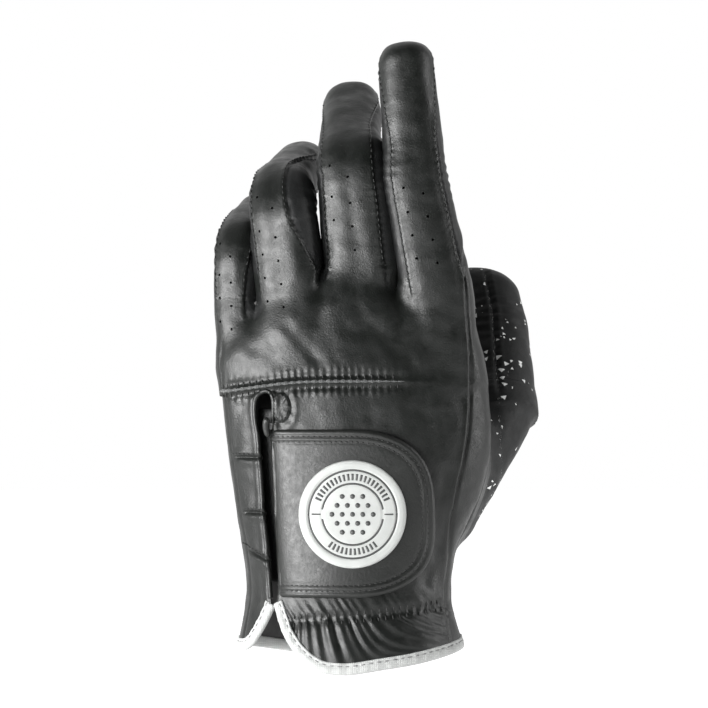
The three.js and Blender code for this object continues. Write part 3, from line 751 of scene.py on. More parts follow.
def pierce(skin, centres, radius):
    """Marks round holes: the field `hole` is negative inside them."""
    def nearest(points):
        if not len(centres):
            return np.full(len(points), 1e3)
        return np.min([np.linalg.norm(points - centre, axis=1) for centre in centres], axis=0)

    for _ in range(2):
        refine(skin, nearest(skin.points) < 3 * radius)
    skin.fields["hole"] = nearest(skin.points) - radius
    skin.cut("hole")


def finish_skin(skin, normals):
    """Raises the folds and seams of a smooth skin, and gives it its normals."""
    skin.points = skin.points + normals * relief(skin.points)[:, None]
    skin.normals = vertex_normals(skin.points, skin.faces)


# ---------------------------------------------------------------- the digits' leather

def hole_centres(digit):
    """Two columns of breathing holes up the back of a finger."""
    count, skip = digit.spec["holes"]
    centres = []
    for column, angle in enumerate(HOLE_ANGLES):
        rows = digit.middle - 2 - HOLE_PITCH * (np.arange(count + column * skip) + 0.35 * column)
        centres.append(digit.surface(rows, np.full(len(rows), math.radians(angle))))
    return np.concatenate(centres)


def digit_skin(digit):
    body_rows = np.arange(digit.border - 3, digit.tip_start, FINE)
    theta = np.linspace(0, math.pi / 2, 16)[1:-1]
    cap_rows = digit.tip_start + TIP_CAP * np.sin(theta) ** (2 / TIP_POWER)
    s_rows = np.concatenate([body_rows, [digit.tip_start], cap_rows])
    columns = int(2 * math.pi * sum(digit.sizes(0)) / 2 / FINE)
    angles = np.linspace(-math.pi, math.pi, columns, endpoint=False)
    s, angle = np.meshgrid(s_rows, angles, indexing="ij")
    rows = len(s_rows)
    index = np.arange(rows * columns).reshape(rows, columns)
    right = np.roll(index, -1, axis=1)
    cap = np.column_stack([index[-1], right[-1], np.full(columns, rows * columns)])
    faces = np.concatenate([quads(index[:-1], right[:-1], right[1:], index[1:]), cap])
    s = np.append(s.ravel(), digit.length)
    angle = np.append(angle.ravel(), 0)
    points = digit.surface(s, angle)
    root = np.flatnonzero(s < digit.border + 14)
    points[root] = project(hand_distance, points[root], 2)
    across = digit.sizes(s)[0]
    skin = Skin(points, faces)
    skin.fields["lower"] = s - digit.border
    skin.fields["upper"] = s - digit.cut
    seam = digit.seam_angle(s, angle)
    if digit.name == "thumb":
        skin.fields["print_u"], skin.fields["print_v"] = s, across * angle
        skin.fields["side_0"] = np.sin(angle) * across
    else:
        from_side = np.abs(np.arctan2(np.sin(angle), np.abs(np.cos(angle))))
        skin.fields["side_0"] = (from_side - seam) * across
        skin.fields["side_1"] = np.sin(angle) * across
        skin.fields["side_2"] = np.cos(angle) * across
    for field in ("lower", "upper", "side_0"):
        skin.cut(field)
    pierce(skin, hole_centres(digit) if digit.spec["holes"][0] else [], HOLE_RADIUS)
    finish_skin(skin, vertex_normals(skin.points, skin.faces))
    return skin


def digit_sides(digit, skin):
    """Which faces belong to each side of a digit."""
    side = skin.face_mean("side_0")
    if digit.name == "thumb":
        return {"inner": side > 0, "outer": side < 0}
    palm, right = skin.face_mean("side_1") > 0, skin.face_mean("side_2") > 0
    return {"back": (side > 0) & ~palm, "palm": (side > 0) & palm,
            "outer_side": (side < 0) & right, "inner_side": (side < 0) & ~right}


def make_digit(digit):
    skin = digit_skin(digit)
    open_ = skin.face_mean("hole") > 0
    upper = skin.face_mean("upper") > 0
    above_border = skin.face_mean("lower") > 0
    for side, faces in digit_sides(digit, skin).items():
        for part, keep in (("lower", above_border & ~upper), ("upper", upper)):
            node = f"{digit.name}_{part}_{side}"
            thumb = digit.name == "thumb"
            kind = "printed" if thumb else "side" if side.endswith("side") else "black"
            make_leather(node, skin.part(faces & keep & open_), kind, digit.places()[part])


# ---------------------------------------------------------------- the hand's leather

def build_hand():
    low, high = (-50, -30, -10), (64, 46, 131)
    points, faces = surface_nets(hand_distance, low, high, HAND_VOXEL)
    for _ in range(3):
        points = project(hand_distance, relax(points, faces), 1)
    skin = Skin(project(hand_distance, points, 1), faces)
    x, y, z = skin.points.T
    fine = (np.abs(z - through(KNUCKLE_SEAM, x)) < 5) | (z < 24)
    fine |= np.min([line_distance(x, z, tuck) for tuck in TUCKS], axis=0) < 2
    fine |= np.abs(x - through(THUMB_SEAM, z)) < 1.6
    refine(skin, fine & (y < MID_Y))
    return skin


def hand_fields(skin):
    p = skin.points
    x, y, z = p.T
    f = skin.fields
    located = {name: digit.locate(p) for name, digit in DIGITS.items()}
    nearest = np.argmin(np.stack([located[name][3] for name in DIGITS]), axis=0)
    f["over"] = np.full(len(p), -50.0)
    for i, (name, digit) in enumerate(DIGITS.items()):
        s, u, n, d = located[name]
        here = (nearest == i) & (d < 1.5)
        f["over"][here] = s[here] - digit.border
        if name == "thumb":
            f["print_u"], f["print_v"] = s, digit.sizes(s)[0] * digit.angle_of(s, u, n)
    f["back"] = MID_Y - y
    hem = np.where(x < SLIT[0, 1], through(CUFF_PINKY, x), through(CUFF_BACK, x))
    f["hem"] = z - np.where(y < MID_Y, hem, through(CUFF_PALM, x)) - 0.3
    f["thumb"] = body_distance(p) - thumb_distance(p)
    f["seam_right"] = x - np.where(y < MID_Y, through(THUMB_SEAM, z), PALM_SEAM)
    f["seam_left"] = np.where(y < MID_Y, through(SLIT, z), -PALM_SEAM) - x
    f["level"] = z - SLIT_HEAD
    slit = np.abs(x - through(SLIT, z)) - through(SLIT, z, 2) / 2
    f["slit"] = np.where((y < MID_Y) & (z < SLIT_HEAD), slit, 9.0)
    for name, (wx, wz) in WEBS.items():
        f[name] = np.sqrt(((x - wx) / 3.6) ** 2 + ((y + 2) / 9) ** 2 + ((z - wz) / 5) ** 2) * 3.6 - 3.6


def make_hand():
    skin = build_hand()
    normals = unit(gradient(hand_distance, skin.points))
    hand_fields(skin)
    skin.normals = normals
    for field in ["over", "hem", "back", "thumb", "seam_right", "seam_left", "level", "slit", *WEBS]:
        skin.cut(field)
    centres = [project(hand_distance, hole_centres(DIGITS[name]), 2) for name in ("ring", "pinky")]
    pierce(skin, np.concatenate(centres), HOLE_RADIUS)
    finish_skin(skin, skin.normals)
    mean = {name: skin.face_mean(name) for name in skin.fields}
    kept = (mean["over"] < 0) & (mean["hem"] > 0) & (mean["slit"] > 0) & (mean["hole"] > 0)
    thumb = mean["thumb"] > 0
    back, above = mean["back"] > 0, mean["level"] > 0
    right, left = mean["seam_right"] > 0, mean["seam_left"] > 0
    webs = {name: (mean[name] < 0) & ~thumb for name in WEBS}
    any_web = np.any(list(webs.values()), axis=0)
    rest = kept & ~thumb & ~any_web
    pinky_side = rest & left & ~above
    regions = {
        "thumb_root": kept & thumb,
        "pinky_side_panel": pinky_side,
        "thumb_side_panel": rest & right & ~pinky_side,
        "back_panel": rest & back & ~right & ~pinky_side,
        "palm_panel": rest & ~back & ~right & ~pinky_side,
        **{name: kept & faces for name, faces in webs.items()},
    }
    for node, faces in regions.items():
        kind = "printed" if node == "thumb_root" else "side" if node.startswith("web") else "black"
        make_leather(node, skin.part(faces), kind, "hand")


# ---------------------------------------------------------------- sheets laid on the back of the hand

def back_y(x, z, with_relief=False):
    """The height, along Y, of the back of the hand over points x, z."""
    y = np.full(len(x), -34.0)
    for _ in range(28):
        y = y + hand_distance(np.column_stack([x, y, z])) * 0.9
    if with_relief:
        p = np.column_stack([x, y, z])
        return (p + unit(gradient(hand_distance, p)) * hand_relief(p)[:, None])[:, 1]
    return y


def on_back(x, z, lift, with_relief=False):
    """Points above the back of the hand, and the directions out of it."""
    p = np.column_stack([x, back_y(x, z), z])
    out = unit(gradient(hand_distance, p))
    if with_relief:
        lift = lift + hand_relief(p)
    return p + out * np.broadcast_to(lift, (len(p),))[:, None], out


def closed(outline):
    return np.vstack([outline, outline[:1]])


def inside_distance(x, z, outline):
    """How far points are inside a closed outline; negative outside it."""
    far = line_distance(x, z, closed(outline))
    inside = np.zeros(len(x), bool)
    for (x0, z0), (x1, z1) in zip(outline, np.roll(outline, -1, axis=0)):
        crosses = (z0 > z) != (z1 > z)
        inside ^= crosses & (x < (x1 - x0) * (z - z0) / (z1 - z0 + 1e-12) + x0)
    return np.where(inside, far, -far)


def patch_skin(outline, lift, step=0.6, with_relief=False):
    """A sheet over the back of the hand. lift gives its height from x, z and the distance from its edge."""
    (x0, z0), (x1, z1) = outline.min(axis=0) - 1, outline.max(axis=0) + 1
    xs, zs = np.arange(x0, x1 + step, step), np.arange(z0, z1 + step, step)
    x, z = (v.ravel() for v in np.meshgrid(xs, zs, indexing="ij"))
    index = np.arange(len(x)).reshape(len(xs), len(zs))
    faces = quads(index[:-1, :-1], index[1:, :-1], index[1:, 1:], index[:-1, 1:])
    skin = Skin(np.column_stack([x, np.zeros(len(x)), z]), faces, edge=inside_distance(x, z, outline))
    skin.normals = np.tile([0.0, -1.0, 0.0], (len(x), 1))
    skin.cut("edge")
    skin = skin.part(skin.face_mean("edge") > 0)
    edge = np.maximum(skin.fields["edge"], 0)
    x, z = skin.points[:, 0], skin.points[:, 2]
    skin.points, _ = on_back(x, z, lift(x, z, edge), with_relief)
    skin.normals = vertex_normals(skin.points, skin.faces)
    return skin


def tab_outline(inset=0.0, count=64):
    height, reach = TAB["half_height"] - inset, TAB["right"] - inset
    z = -height * np.cos(np.linspace(0, math.pi, count))
    x = reach * (1 - np.abs(z / height) ** TAB["corner"]) ** (1 / TAB["shoulder"])
    left, slant = TAB["left"] + inset, TAB["lean"] * height
    left_edge = [[left + slant, TAB["middle"] - height], [left - slant, TAB["middle"] + height]]
    return np.vstack([left_edge[:1], np.column_stack([x, TAB["middle"] + z]), left_edge[1:]])


def tab_rim(inset=0.0):
    """The tab's outline without its left side: there the leather goes on down into the slit."""
    rim = tab_outline(inset)
    rim[[0, -1], 0] = TAB["left"] - 12
    return rim


def tab_lift(x, z):
    """The tab's upper face: it thins at its rim, and at its left it rolls down into the slit."""
    left = TAB["left"] - TAB["lean"] * (z - TAB["middle"])
    roll = np.clip((left + TAB_ROLL - x) / TAB_ROLL, 0, 1)
    sag = np.clip((5 - x) / 30, 0, 1) ** 2
    edge = np.maximum(inside_distance(x, z, tab_rim()), 0)
    rim = 0.75 * (1 - np.sqrt(1 - np.clip(1 - edge / 1.1, 0, 1) ** 2))
    grooves = 0.24 * sum(ridge(edge - inset, 0.42) for inset in TAB_SEAMS)
    puff = 0.28 * ridge(edge - sum(TAB_SEAMS) / 2, 0.7) + 0.16 * ridge(edge - TAB_SEAMS[0] + 1.1, 0.6)
    quilting = 0.09 * waves(x + z, 1.75) * ridge(edge - sum(TAB_SEAMS) / 2, 1.4)
    swell = 0.12 * np.sin(z / 5.0) * np.sin(x / 7.0)
    rolled = 4.0 * (1 - np.sqrt(1 - roll**2 * 0.999))
    return TAB_LIFT - rolled - sag - rim - grooves + puff + quilting + swell


def flat_patch(name, outline, low, high, material, place, step=0.8):
    def lift(x, z, edge):
        return high - 0.5 * (high - low) * (1 - smoothstep(edge, 0, 0.6))

    skin = patch_skin(outline, lift, step)
    make_piece(f"{name}_sheet", skin, [material], place, [name], thickness=high - low)


def make_tab():
    tab = patch_skin(tab_outline(), lambda x, z, edge: tab_lift(x, z))
    left, bend = TAB["left"], 6.0
    hinge = np.array([left, -15.0, TAB["middle"]])
    place = ("hand", "tab", hinge, hinge + np.array([bend, 0, 0]))
    make_piece("closure_tab_leather", tab, [LEATHERS["tab"]], place, ["closure_tab"], thickness=1.1)
    flat_patch("hook_patch", tab_outline(6), 1.1, 1.6, FABRICS["hook"], "tab")
    flat_patch("loop_patch", tab_outline(5), 0.15, 0.8, FABRICS["loop"], "hand")
    rows = []
    for inset in TAB_SEAMS:
        outline = tab_rim(inset)
        outline[[0, -1], 0] = left + 0.6
        x, z = resample(outline, 0.3).T
        path, out = on_back(x, z, tab_lift(x, z) - 0.05)
        rows.append(stitch_row(path, out, pitch=1.75, length=1.15, radius=0.2))
    add_threads("closure_tab_stitches", rows, "tab")


# ---------------------------------------------------------------- threads

def lengths_along(points):
    return np.concatenate([[0], np.cumsum(np.linalg.norm(np.diff(points, axis=0), axis=1))])


def interpolate(at, far, values):
    return np.column_stack([np.interp(at, far, column) for column in values.T])


def resample(points, step):
    """Points an even step apart along a run of points."""
    far = lengths_along(points)
    count = max(2, int(far[-1] / step) + 1)
    at = np.linspace(0, far[-1], count)
    return interpolate(at, far, points)


def stitches_at(centres, tangents, outs, length, radius, sides=5):
    """Short threads that come up out of the leather, lie on it and go back in."""
    along = np.array([-0.5, -0.38, -0.14, 0.14, 0.38, 0.5]) * length
    height = np.array([-1.6, 0.1, 0.75, 0.75, 0.1, -1.6]) * radius
    thick = np.array([0.7, 1, 1, 1, 1, 0.7]) * radius
    side = unit(np.cross(tangents, outs))
    spin = np.linspace(0, 2 * math.pi, sides, endpoint=False)
    ring = (centres[:, None, None] + tangents[:, None, None] * along[None, :, None, None]
            + outs[:, None, None] * (height[:, None] + thick[:, None] * np.sin(spin))[None, :, :, None]
            + side[:, None, None] * (thick[:, None] * np.cos(spin))[None, :, :, None])
    rows = len(along)
    one = rod_faces(rows, sides)[:, ::-1]
    faces = (one[None] + (np.arange(len(centres)) * rows * sides)[:, None, None]).reshape(-1, 3)
    return ring.reshape(-1, 3), faces


def stitch_row(path, outs, pitch, length, radius, across=0.0):
    """A row of stitches along a path, or, turned by `across` degrees, a row of bars over it."""
    far = lengths_along(path)
    at = np.arange(pitch / 2, far[-1] - pitch / 4, pitch)
    centres = interpolate(at, far, path)
    out = unit(interpolate(at, far, outs))
    tangent = unit(interpolate(at + 0.3, far, path) - interpolate(at - 0.3, far, path))
    tangent = unit(tangent - out * np.sum(tangent * out, axis=1, keepdims=True))
    side = np.cross(tangent, out)
    turn = math.radians(across)
    return stitches_at(centres, tangent * math.cos(turn) + side * math.sin(turn), out, length, radius)


def joined(parts):
    points, faces, count = [], [], 0
    for p, f in parts:
        points.append(p)
        faces.append(f + count)
        count += len(p)
    return np.concatenate(points), np.concatenate(faces)


def add_threads(name, rows, place, material=None):
    points, faces = joined(rows)
    add_mesh(name, points, faces, [material or FABRICS["thread"]], place)


def tube(path, radius, sides=8):
    """A round cord along a path; radius may change along it."""
    radius = np.broadcast_to(radius, (len(path),))
    tangent = unit(np.gradient(path, axis=0))
    up = np.array([0.0, -1.0, 0.0])
    side = unit(np.cross(tangent, up))
    up = np.cross(side, tangent)
    spin = np.linspace(0, 2 * math.pi, sides, endpoint=False)
    ring = path[:, None] + radius[:, None, None] * (side[:, None] * np.cos(spin)[None, :, None]
                                                    + up[:, None] * np.sin(spin)[None, :, None])
    return ring.reshape(-1, 3), rod_faces(len(path), sides)


def over_back(line, from_x, to_x, step=0.4):
    x = np.arange(from_x, to_x, step)
    return x, through(line, x)


def make_back_details():
    """The knuckle seam's elastic, and the stitches of that seam, of the tucks and of the wrist's elastic."""
    x, z = over_back(KNUCKLE_SEAM, -42.2, 25.7, 0.3)
    path, out = on_back(x, z, 0.0, True)
    beads = (0.42 + 0.10 * waves(x, 2.3)) * (1 - 0.7 * smoothstep(x, 0, 20))
    sunk = 0.1 - 0.4 * smoothstep(x, 10, 21)
    points, faces = tube(path + out * sunk[:, None], beads)
    add_mesh("knuckle_elastic_cord", points, faces, [FABRICS["elastic"]], "hand", ["knuckle_elastic"])
    rows = []
    for side in (-1.5, 1.5):
        path, out = on_back(x[x < 16], z[x < 16] + side, 0.0, True)
        rows.append(stitch_row(path, out, 2.3, 1.5, 0.17, across=90))
    for tuck in TUCKS:
        run = resample(tuck, 0.4)
        path, out = on_back(run[:, 0], run[:, 1] + 1.1, 0.0, True)
        rows.append(stitch_row(path, out, 1.9, 1.2, 0.16))
    x, z = over_back(WRIST_SEAM, -19.5, 30)
    for side in (-1.4, 1.4):
        path, out = on_back(x, z + side, 0.0, True)
        rows.append(stitch_row(path, out, 2.4, 1.7, 0.17, across=90))
    add_threads("back_stitches", rows, "hand")


def make_slit():
    zs = np.append(np.arange(19, SLIT_HEAD, 0.5), SLIT_HEAD)
    middle, half = through(SLIT, zs), through(SLIT, zs, 2) / 2
    left = np.column_stack([middle - half, zs])
    right = np.column_stack([middle + half, zs])[zs > 75][::-1]
    rim = resample(np.vstack([left, right]), 0.5)
    path, out = on_back(rim[:, 0], rim[:, 1], -0.1, True)
    points, faces = tube(path, 0.8, 12)
    add_mesh("slit_piping", points, faces, [LEATHERS["black"]], "hand")
    zs = np.linspace(24, 80, 24)
    facing = np.vstack([np.column_stack([through(SLIT, zs) - 4.4, zs]),
                        np.column_stack([through(SLIT, zs) + 4.4, zs])[::-1]])
    flat_patch("slit_facing", facing, -5.0, -4.2, LEATHERS["side"], "hand")
    turn = np.linspace(0, 2 * math.pi, 40, endpoint=False)
    outline = np.column_stack([REINFORCEMENT["x"] + REINFORCEMENT["half_width"] * np.cos(turn),
                               REINFORCEMENT["z"] + REINFORCEMENT["half_height"] * np.sin(turn)])
    skin = patch_skin(outline, lambda x, z, edge: 0.05 + 0.45 * smoothstep(edge, 0, 0.7), 0.4, True)
    make_piece("slit_reinforcement_sheet", skin, [LEATHERS["black"]], "hand", ["slit_reinforcement"],
               thickness=0.7)
    path, out = on_back(*closed(inset_of(outline, 1.0)).T, 0.45, True)
    add_threads("slit_stitches", [stitch_row(path, out, 1.5, 1.2, 0.2)], "hand")
    make_tongue()


def make_tongue():
    """The upper left corner of the tab, curled up over the slit."""
    z = np.linspace(71, 77.4, 16)
    rise = (z - z[0]) / (z[-1] - z[0])
    x = -25.9 - 0.7 * np.sin(math.pi * rise)
    path, _ = on_back(x, z, 1.2 + 1.2 * rise)
    radius = 1.25 * np.sqrt(np.clip(1 - (2 * rise - 1) ** 6, 0.02, 1)) * (0.75 + 0.25 * rise)
    points, faces = tube(path, radius, 14)
    add_mesh("closure_tab_corner", points, faces, [LEATHERS["tab"]], "hand")


def inset_of(outline, distance):
    middle = outline.mean(axis=0)
    away = outline - middle
    far = np.linalg.norm(away, axis=1, keepdims=True)
    return middle + away * (1 - distance / far)


def make_wrist_band():
    x = np.linspace(-18, 29, 40)
    z = through(WRIST_SEAM, x)
    outline = np.vstack([np.column_stack([x, z - 2.4]), np.column_stack([x, z + 2.4])[::-1]])
    flat_patch("wrist_elastic", outline, -2.9, -2.1, FABRICS["elastic"], "hand")


# ---------------------------------------------------------------- the fingers' and the thumb's stitches

def make_digit_stitches(digit):
    """A row of stitches on the back beside each side seam, below and above the middle joint."""
    parts = {"lower": (digit.border + 0.5, digit.cut), "upper": (digit.cut, digit.length - 8)}
    for part, (start, end) in parts.items():
        rows = []
        s = np.arange(start, end, 0.4)
        for side in (-1, 1):
            for face in (-1, 1):
                quadrant = np.full(len(s), face * math.radians(45 if side > 0 else 135))
                from_side = digit.seam_angle(s, quadrant) + 1.1 / digit.sizes(s)[0]
                angle = face * (from_side if side > 0 else math.pi - from_side)
                path = digit.surface(s, angle)
                out = unit(digit.surface(s, angle, 1.0) - path)
                path = path + out * relief(path)[:, None]
                rows.append(stitch_row(path, out, 2.1, 1.3, 0.16))
        add_threads(f"{digit.name}_{part}_stitches", rows, digit.places()[part])


# ---------------------------------------------------------------- the cuff's binding

def ring_point(angle, z):
    left, right, back, palm = hand_sections(z)
    c, s = section(angle)
    x = (left + right) / 2 + (right - left) / 2 * c
    y = (back + palm) / 2 + (palm - back) / 2 * s + PALM_ARCH * c**2 - PALM_TILT * c
    return np.column_stack([x, y, z])


def hem_path(table, start, end, step=0.6):
    """The cuff's lower edge, from one angle round the wrist to another."""
    angle = np.linspace(start, end, int(abs(end - start) * 34 / step))
    z = np.full(len(angle), 4.0)
    for _ in range(8):
        z = through(table, ring_point(angle, z)[:, 0])
    return resample(ring_point(angle, z), step)


def angle_at(x, z):
    """The angle, on the back of the wrist, of a point at x, z."""
    left, right, _, _ = (float(v) for v in hand_sections(np.array(float(z))))
    c = (x - (left + right) / 2) / ((right - left) / 2)
    return -math.acos(math.copysign(abs(c) ** (ROUND / 2), c))


# The folded tape's section: distance up from the cuff's edge, height above the leather
TAPE_SECTION = [
    (TAPE, 0.28), (TAPE - 0.25, 0.55), (TAPE - 0.6, 0.6), (TAPE_SEAM + 0.2, 0.3), (TAPE_SEAM - 0.1, 0.3),
    (TAPE_SEAM - 0.6, 0.62), (1.2, 0.7), (0.5, 0.6), (-0.15, 0.25), (-0.45, -0.45), (-0.15, -1.15),
    (0.5, -1.5), (TAPE / 2, -1.55), (TAPE - 0.35, -1.45), (TAPE, -1.2), (TAPE, -0.95), (0.3, -0.95),
    (0.3, 0.03), (TAPE, 0.03),
]


def make_binding(name, path):
    """Tape folded over the cuff's edge, with a row of dark stitches."""
    tangent = unit(np.gradient(path, axis=0))
    out = unit(gradient(body_distance, path))
    up = np.cross(out, tangent)
    up = unit(up * np.sign(up[:, 2:3]))
    wave = 0.10 * np.sin(np.arange(len(path)) * 0.9) + 0.06 * np.sin(np.arange(len(path)) * 2.1)

    def raised(across, lift):
        p = project(body_distance, path + up * across, 2)
        out_here = unit(gradient(body_distance, p))
        fold = hand_relief(p) * smoothstep(across, -0.5, 2.5) * 0.6
        return p + out_here * (lift + fold + wave * (lift > 0.1))[:, None], out_here

    rows = [raised(across, lift)[0] for across, lift in TAPE_SECTION]
    ring = np.stack(rows, axis=1)
    sides = ring.shape[1]
    index = np.arange(len(path) * sides).reshape(len(path), sides)
    turn = np.roll(index, -1, axis=1)
    faces = [quads(index[:-1], turn[:-1], turn[1:], index[1:])]
    middle = len(path) * sides
    points = np.concatenate([ring.reshape(-1, 3), ring[[0, -1]].mean(axis=1)])
    faces.append(np.column_stack([index[0], np.roll(index[0], 1), np.full(sides, middle)]))
    faces.append(np.column_stack([index[-1], turn[-1], np.full(sides, middle + 1)]))
    faces = np.concatenate(faces)
    p = points[faces]
    volume = np.sum(p[:, 0] * np.cross(p[:, 1], p[:, 2]))
    if volume < 0:
        faces = faces[:, ::-1]
    add_mesh(f"{name}_tape", points, faces, [FABRICS["tape"]], "hand", [name])
    seam, out_seam = raised(TAPE_SEAM, 0.32)
    add_threads(f"{name}_stitches", [stitch_row(seam, out_seam, 2.6, 1.5, 0.2)], "hand",
                FABRICS["grey_thread"])


def make_cuff():
    make_binding("cuff_binding_back", hem_path(CUFF_BACK, angle_at(*CUFF_BACK[0]), 0.0))
    make_binding("cuff_binding_palm", hem_path(CUFF_PALM, 0.0, math.pi))
    make_binding("cuff_binding_pinky", hem_path(CUFF_PINKY, -math.pi, angle_at(*CUFF_PINKY[-1])))


# ---------------------------------------------------------------- the badge

# The badge's section: radius, height above the tab, with a groove under each of its two rings
BADGE_PROFILE = np.array([
    (0, 1.15), (BADGE["core"] - 0.7, 1.15), (BADGE["core"] - 0.3, 1.0), (BADGE["core"] + 0.3, 1.0),
    (BADGE["core"] + 0.7, 1.1), (BADGE["ring"] - 0.7, 1.1), (BADGE["ring"] - 0.3, 1.0),
    (BADGE["ring"] + 0.3, 1.0), (BADGE["ring"] + 0.8, 1.3), (16.2, 1.35), (16.9, 1.15),
    (BADGE["radius"], 0.75), (BADGE["radius"] + 0.05, 0.3),
])


def badge_height(r):
    return TAB_LIFT + np.interp(r, BADGE_PROFILE[:, 0], BADGE_PROFILE[:, 1])


def on_badge(r, angle, lift=0.0):
    x, z = BADGE["x"] + r * np.cos(angle), BADGE["z"] + r * np.sin(angle)
    u, v = x - BADGE["x"], z - BADGE["z"]
    y = BADGE_Y[0] + BADGE_Y[1] * u + BADGE_Y[2] * v + BADGE_Y[3] * (u**2) + BADGE_Y[4] * (v**2)
    return np.column_stack([x, y - badge_height(r) - lift, z])


def fit_badge():
    """The badge follows the tab's gentle curve: a fitted paraboloid."""
    angle, r = (v.ravel() for v in np.meshgrid(np.linspace(0, 2 * math.pi, 24), np.linspace(1, 17, 8)))
    u, v = r * np.cos(angle), r * np.sin(angle)
    y = back_y(BADGE["x"] + u, BADGE["z"] + v)
    return np.linalg.lstsq(np.column_stack([np.ones(len(u)), u, v, u**2, v**2]), y, rcond=None)[0]


def polar_patch(r0, r1, a0, a1, lift=0.06, depth=0.3, step=0.5):
    """A small raised piece of the badge between two radii and two angles, as a closed solid."""
    rows = max(2, int((r1 - r0) / step) + 1)
    columns = max(2, int(abs(a1 - a0) * r1 / step) + 1)
    grid = np.meshgrid(np.linspace(r0, r1, rows), np.linspace(a0, a1, columns), indexing="ij")
    r, a = (v.ravel() for v in grid)
    index = np.arange(rows * columns).reshape(rows, columns)
    top = quads(index[:-1, :-1], index[1:, :-1], index[1:, 1:], index[:-1, 1:])
    return np.concatenate([on_badge(r, a, lift), on_badge(r, a, lift - depth)]), thickened(top, len(r))


def dot(x, z, radius, sides=14):
    """A small round raised dot on the badge's core."""
    turn = np.linspace(0, 2 * math.pi, sides, endpoint=False)
    px = np.append(x + radius * np.cos(turn), x)
    pz = np.append(z + radius * np.sin(turn), z)
    r, a = np.hypot(px, pz), np.arctan2(pz, px)
    k = np.arange(sides)
    top = np.column_stack([k, (k + 1) % sides, np.full(sides, sides)])
    return np.concatenate([on_badge(r, a, 0.08), on_badge(r, a, -0.2)]), thickened(top, sides + 1)


def make_badge():
    """A pale rubber disc with dark marks: two rings, bars between them, and dots like a golf ball's."""
    outside = BADGE["radius"]
    rings = np.concatenate([np.linspace(0.4, 15.6, 56), np.linspace(15.8, outside, 9), [outside + 0.05]])
    count = 120
    angle = np.linspace(0, 2 * math.pi, count, endpoint=False)
    r, a = (v.ravel() for v in np.meshgrid(rings, angle, indexing="ij"))
    points = np.vstack([on_badge(r, a), on_badge(np.zeros(1), np.zeros(1))])
    index = np.arange(len(r)).reshape(len(rings), count)
    turn = np.roll(index, -1, axis=1)
    faces = [quads(index[:-1], index[1:], turn[1:], turn[:-1])]
    centre = len(r)
    faces.append(np.column_stack([index[0], turn[0], np.full(count, centre)]))
    below = on_badge(np.array([0.0]), np.array([0.0])) + [0, 1.15, 0]
    points = np.vstack([points, below])
    faces.append(np.column_stack([turn[-1], index[-1], np.full(count, centre + 1)]))
    add_mesh("badge_disc_rubber", points, np.concatenate(faces), [FABRICS["rubber"]], "tab", ["badge_disc"])
    gap, half_line = math.radians(9), 0.32
    marks = []
    for side in (0, math.pi):
        for r_mark, open_by in ((BADGE["ring"], 0), (BADGE["core"], gap)):
            marks.append(polar_patch(r_mark - half_line, r_mark + half_line,
                                     side + open_by, side + math.pi - open_by))
        marks.append(polar_patch(BADGE["core"] + 0.4, BADGE["ring"] - 1.0, side - 0.02, side + 0.02))
    bars = [*np.radians(np.arange(24, 157, 6.6)), *np.radians(np.arange(-126, -53, 6.6))]
    for a in bars:
        marks.append(polar_patch(10.9, 13.0, a - 0.03, a + 0.03))
    pitch = 3.3
    for i in range(-3, 4):
        for j in range(-3, 4):
            x, z = pitch * (i + j / 2), pitch * j * math.sqrt(3) / 2
            if math.hypot(x, z) < 7.4:
                marks.append(dot(x, z, 0.8))
    points, faces = joined(marks)
    add_mesh("badge_relief_marks", points, faces, [FABRICS["mark"]], "tab", ["badge_relief"])


# ---------------------------------------------------------------- materials

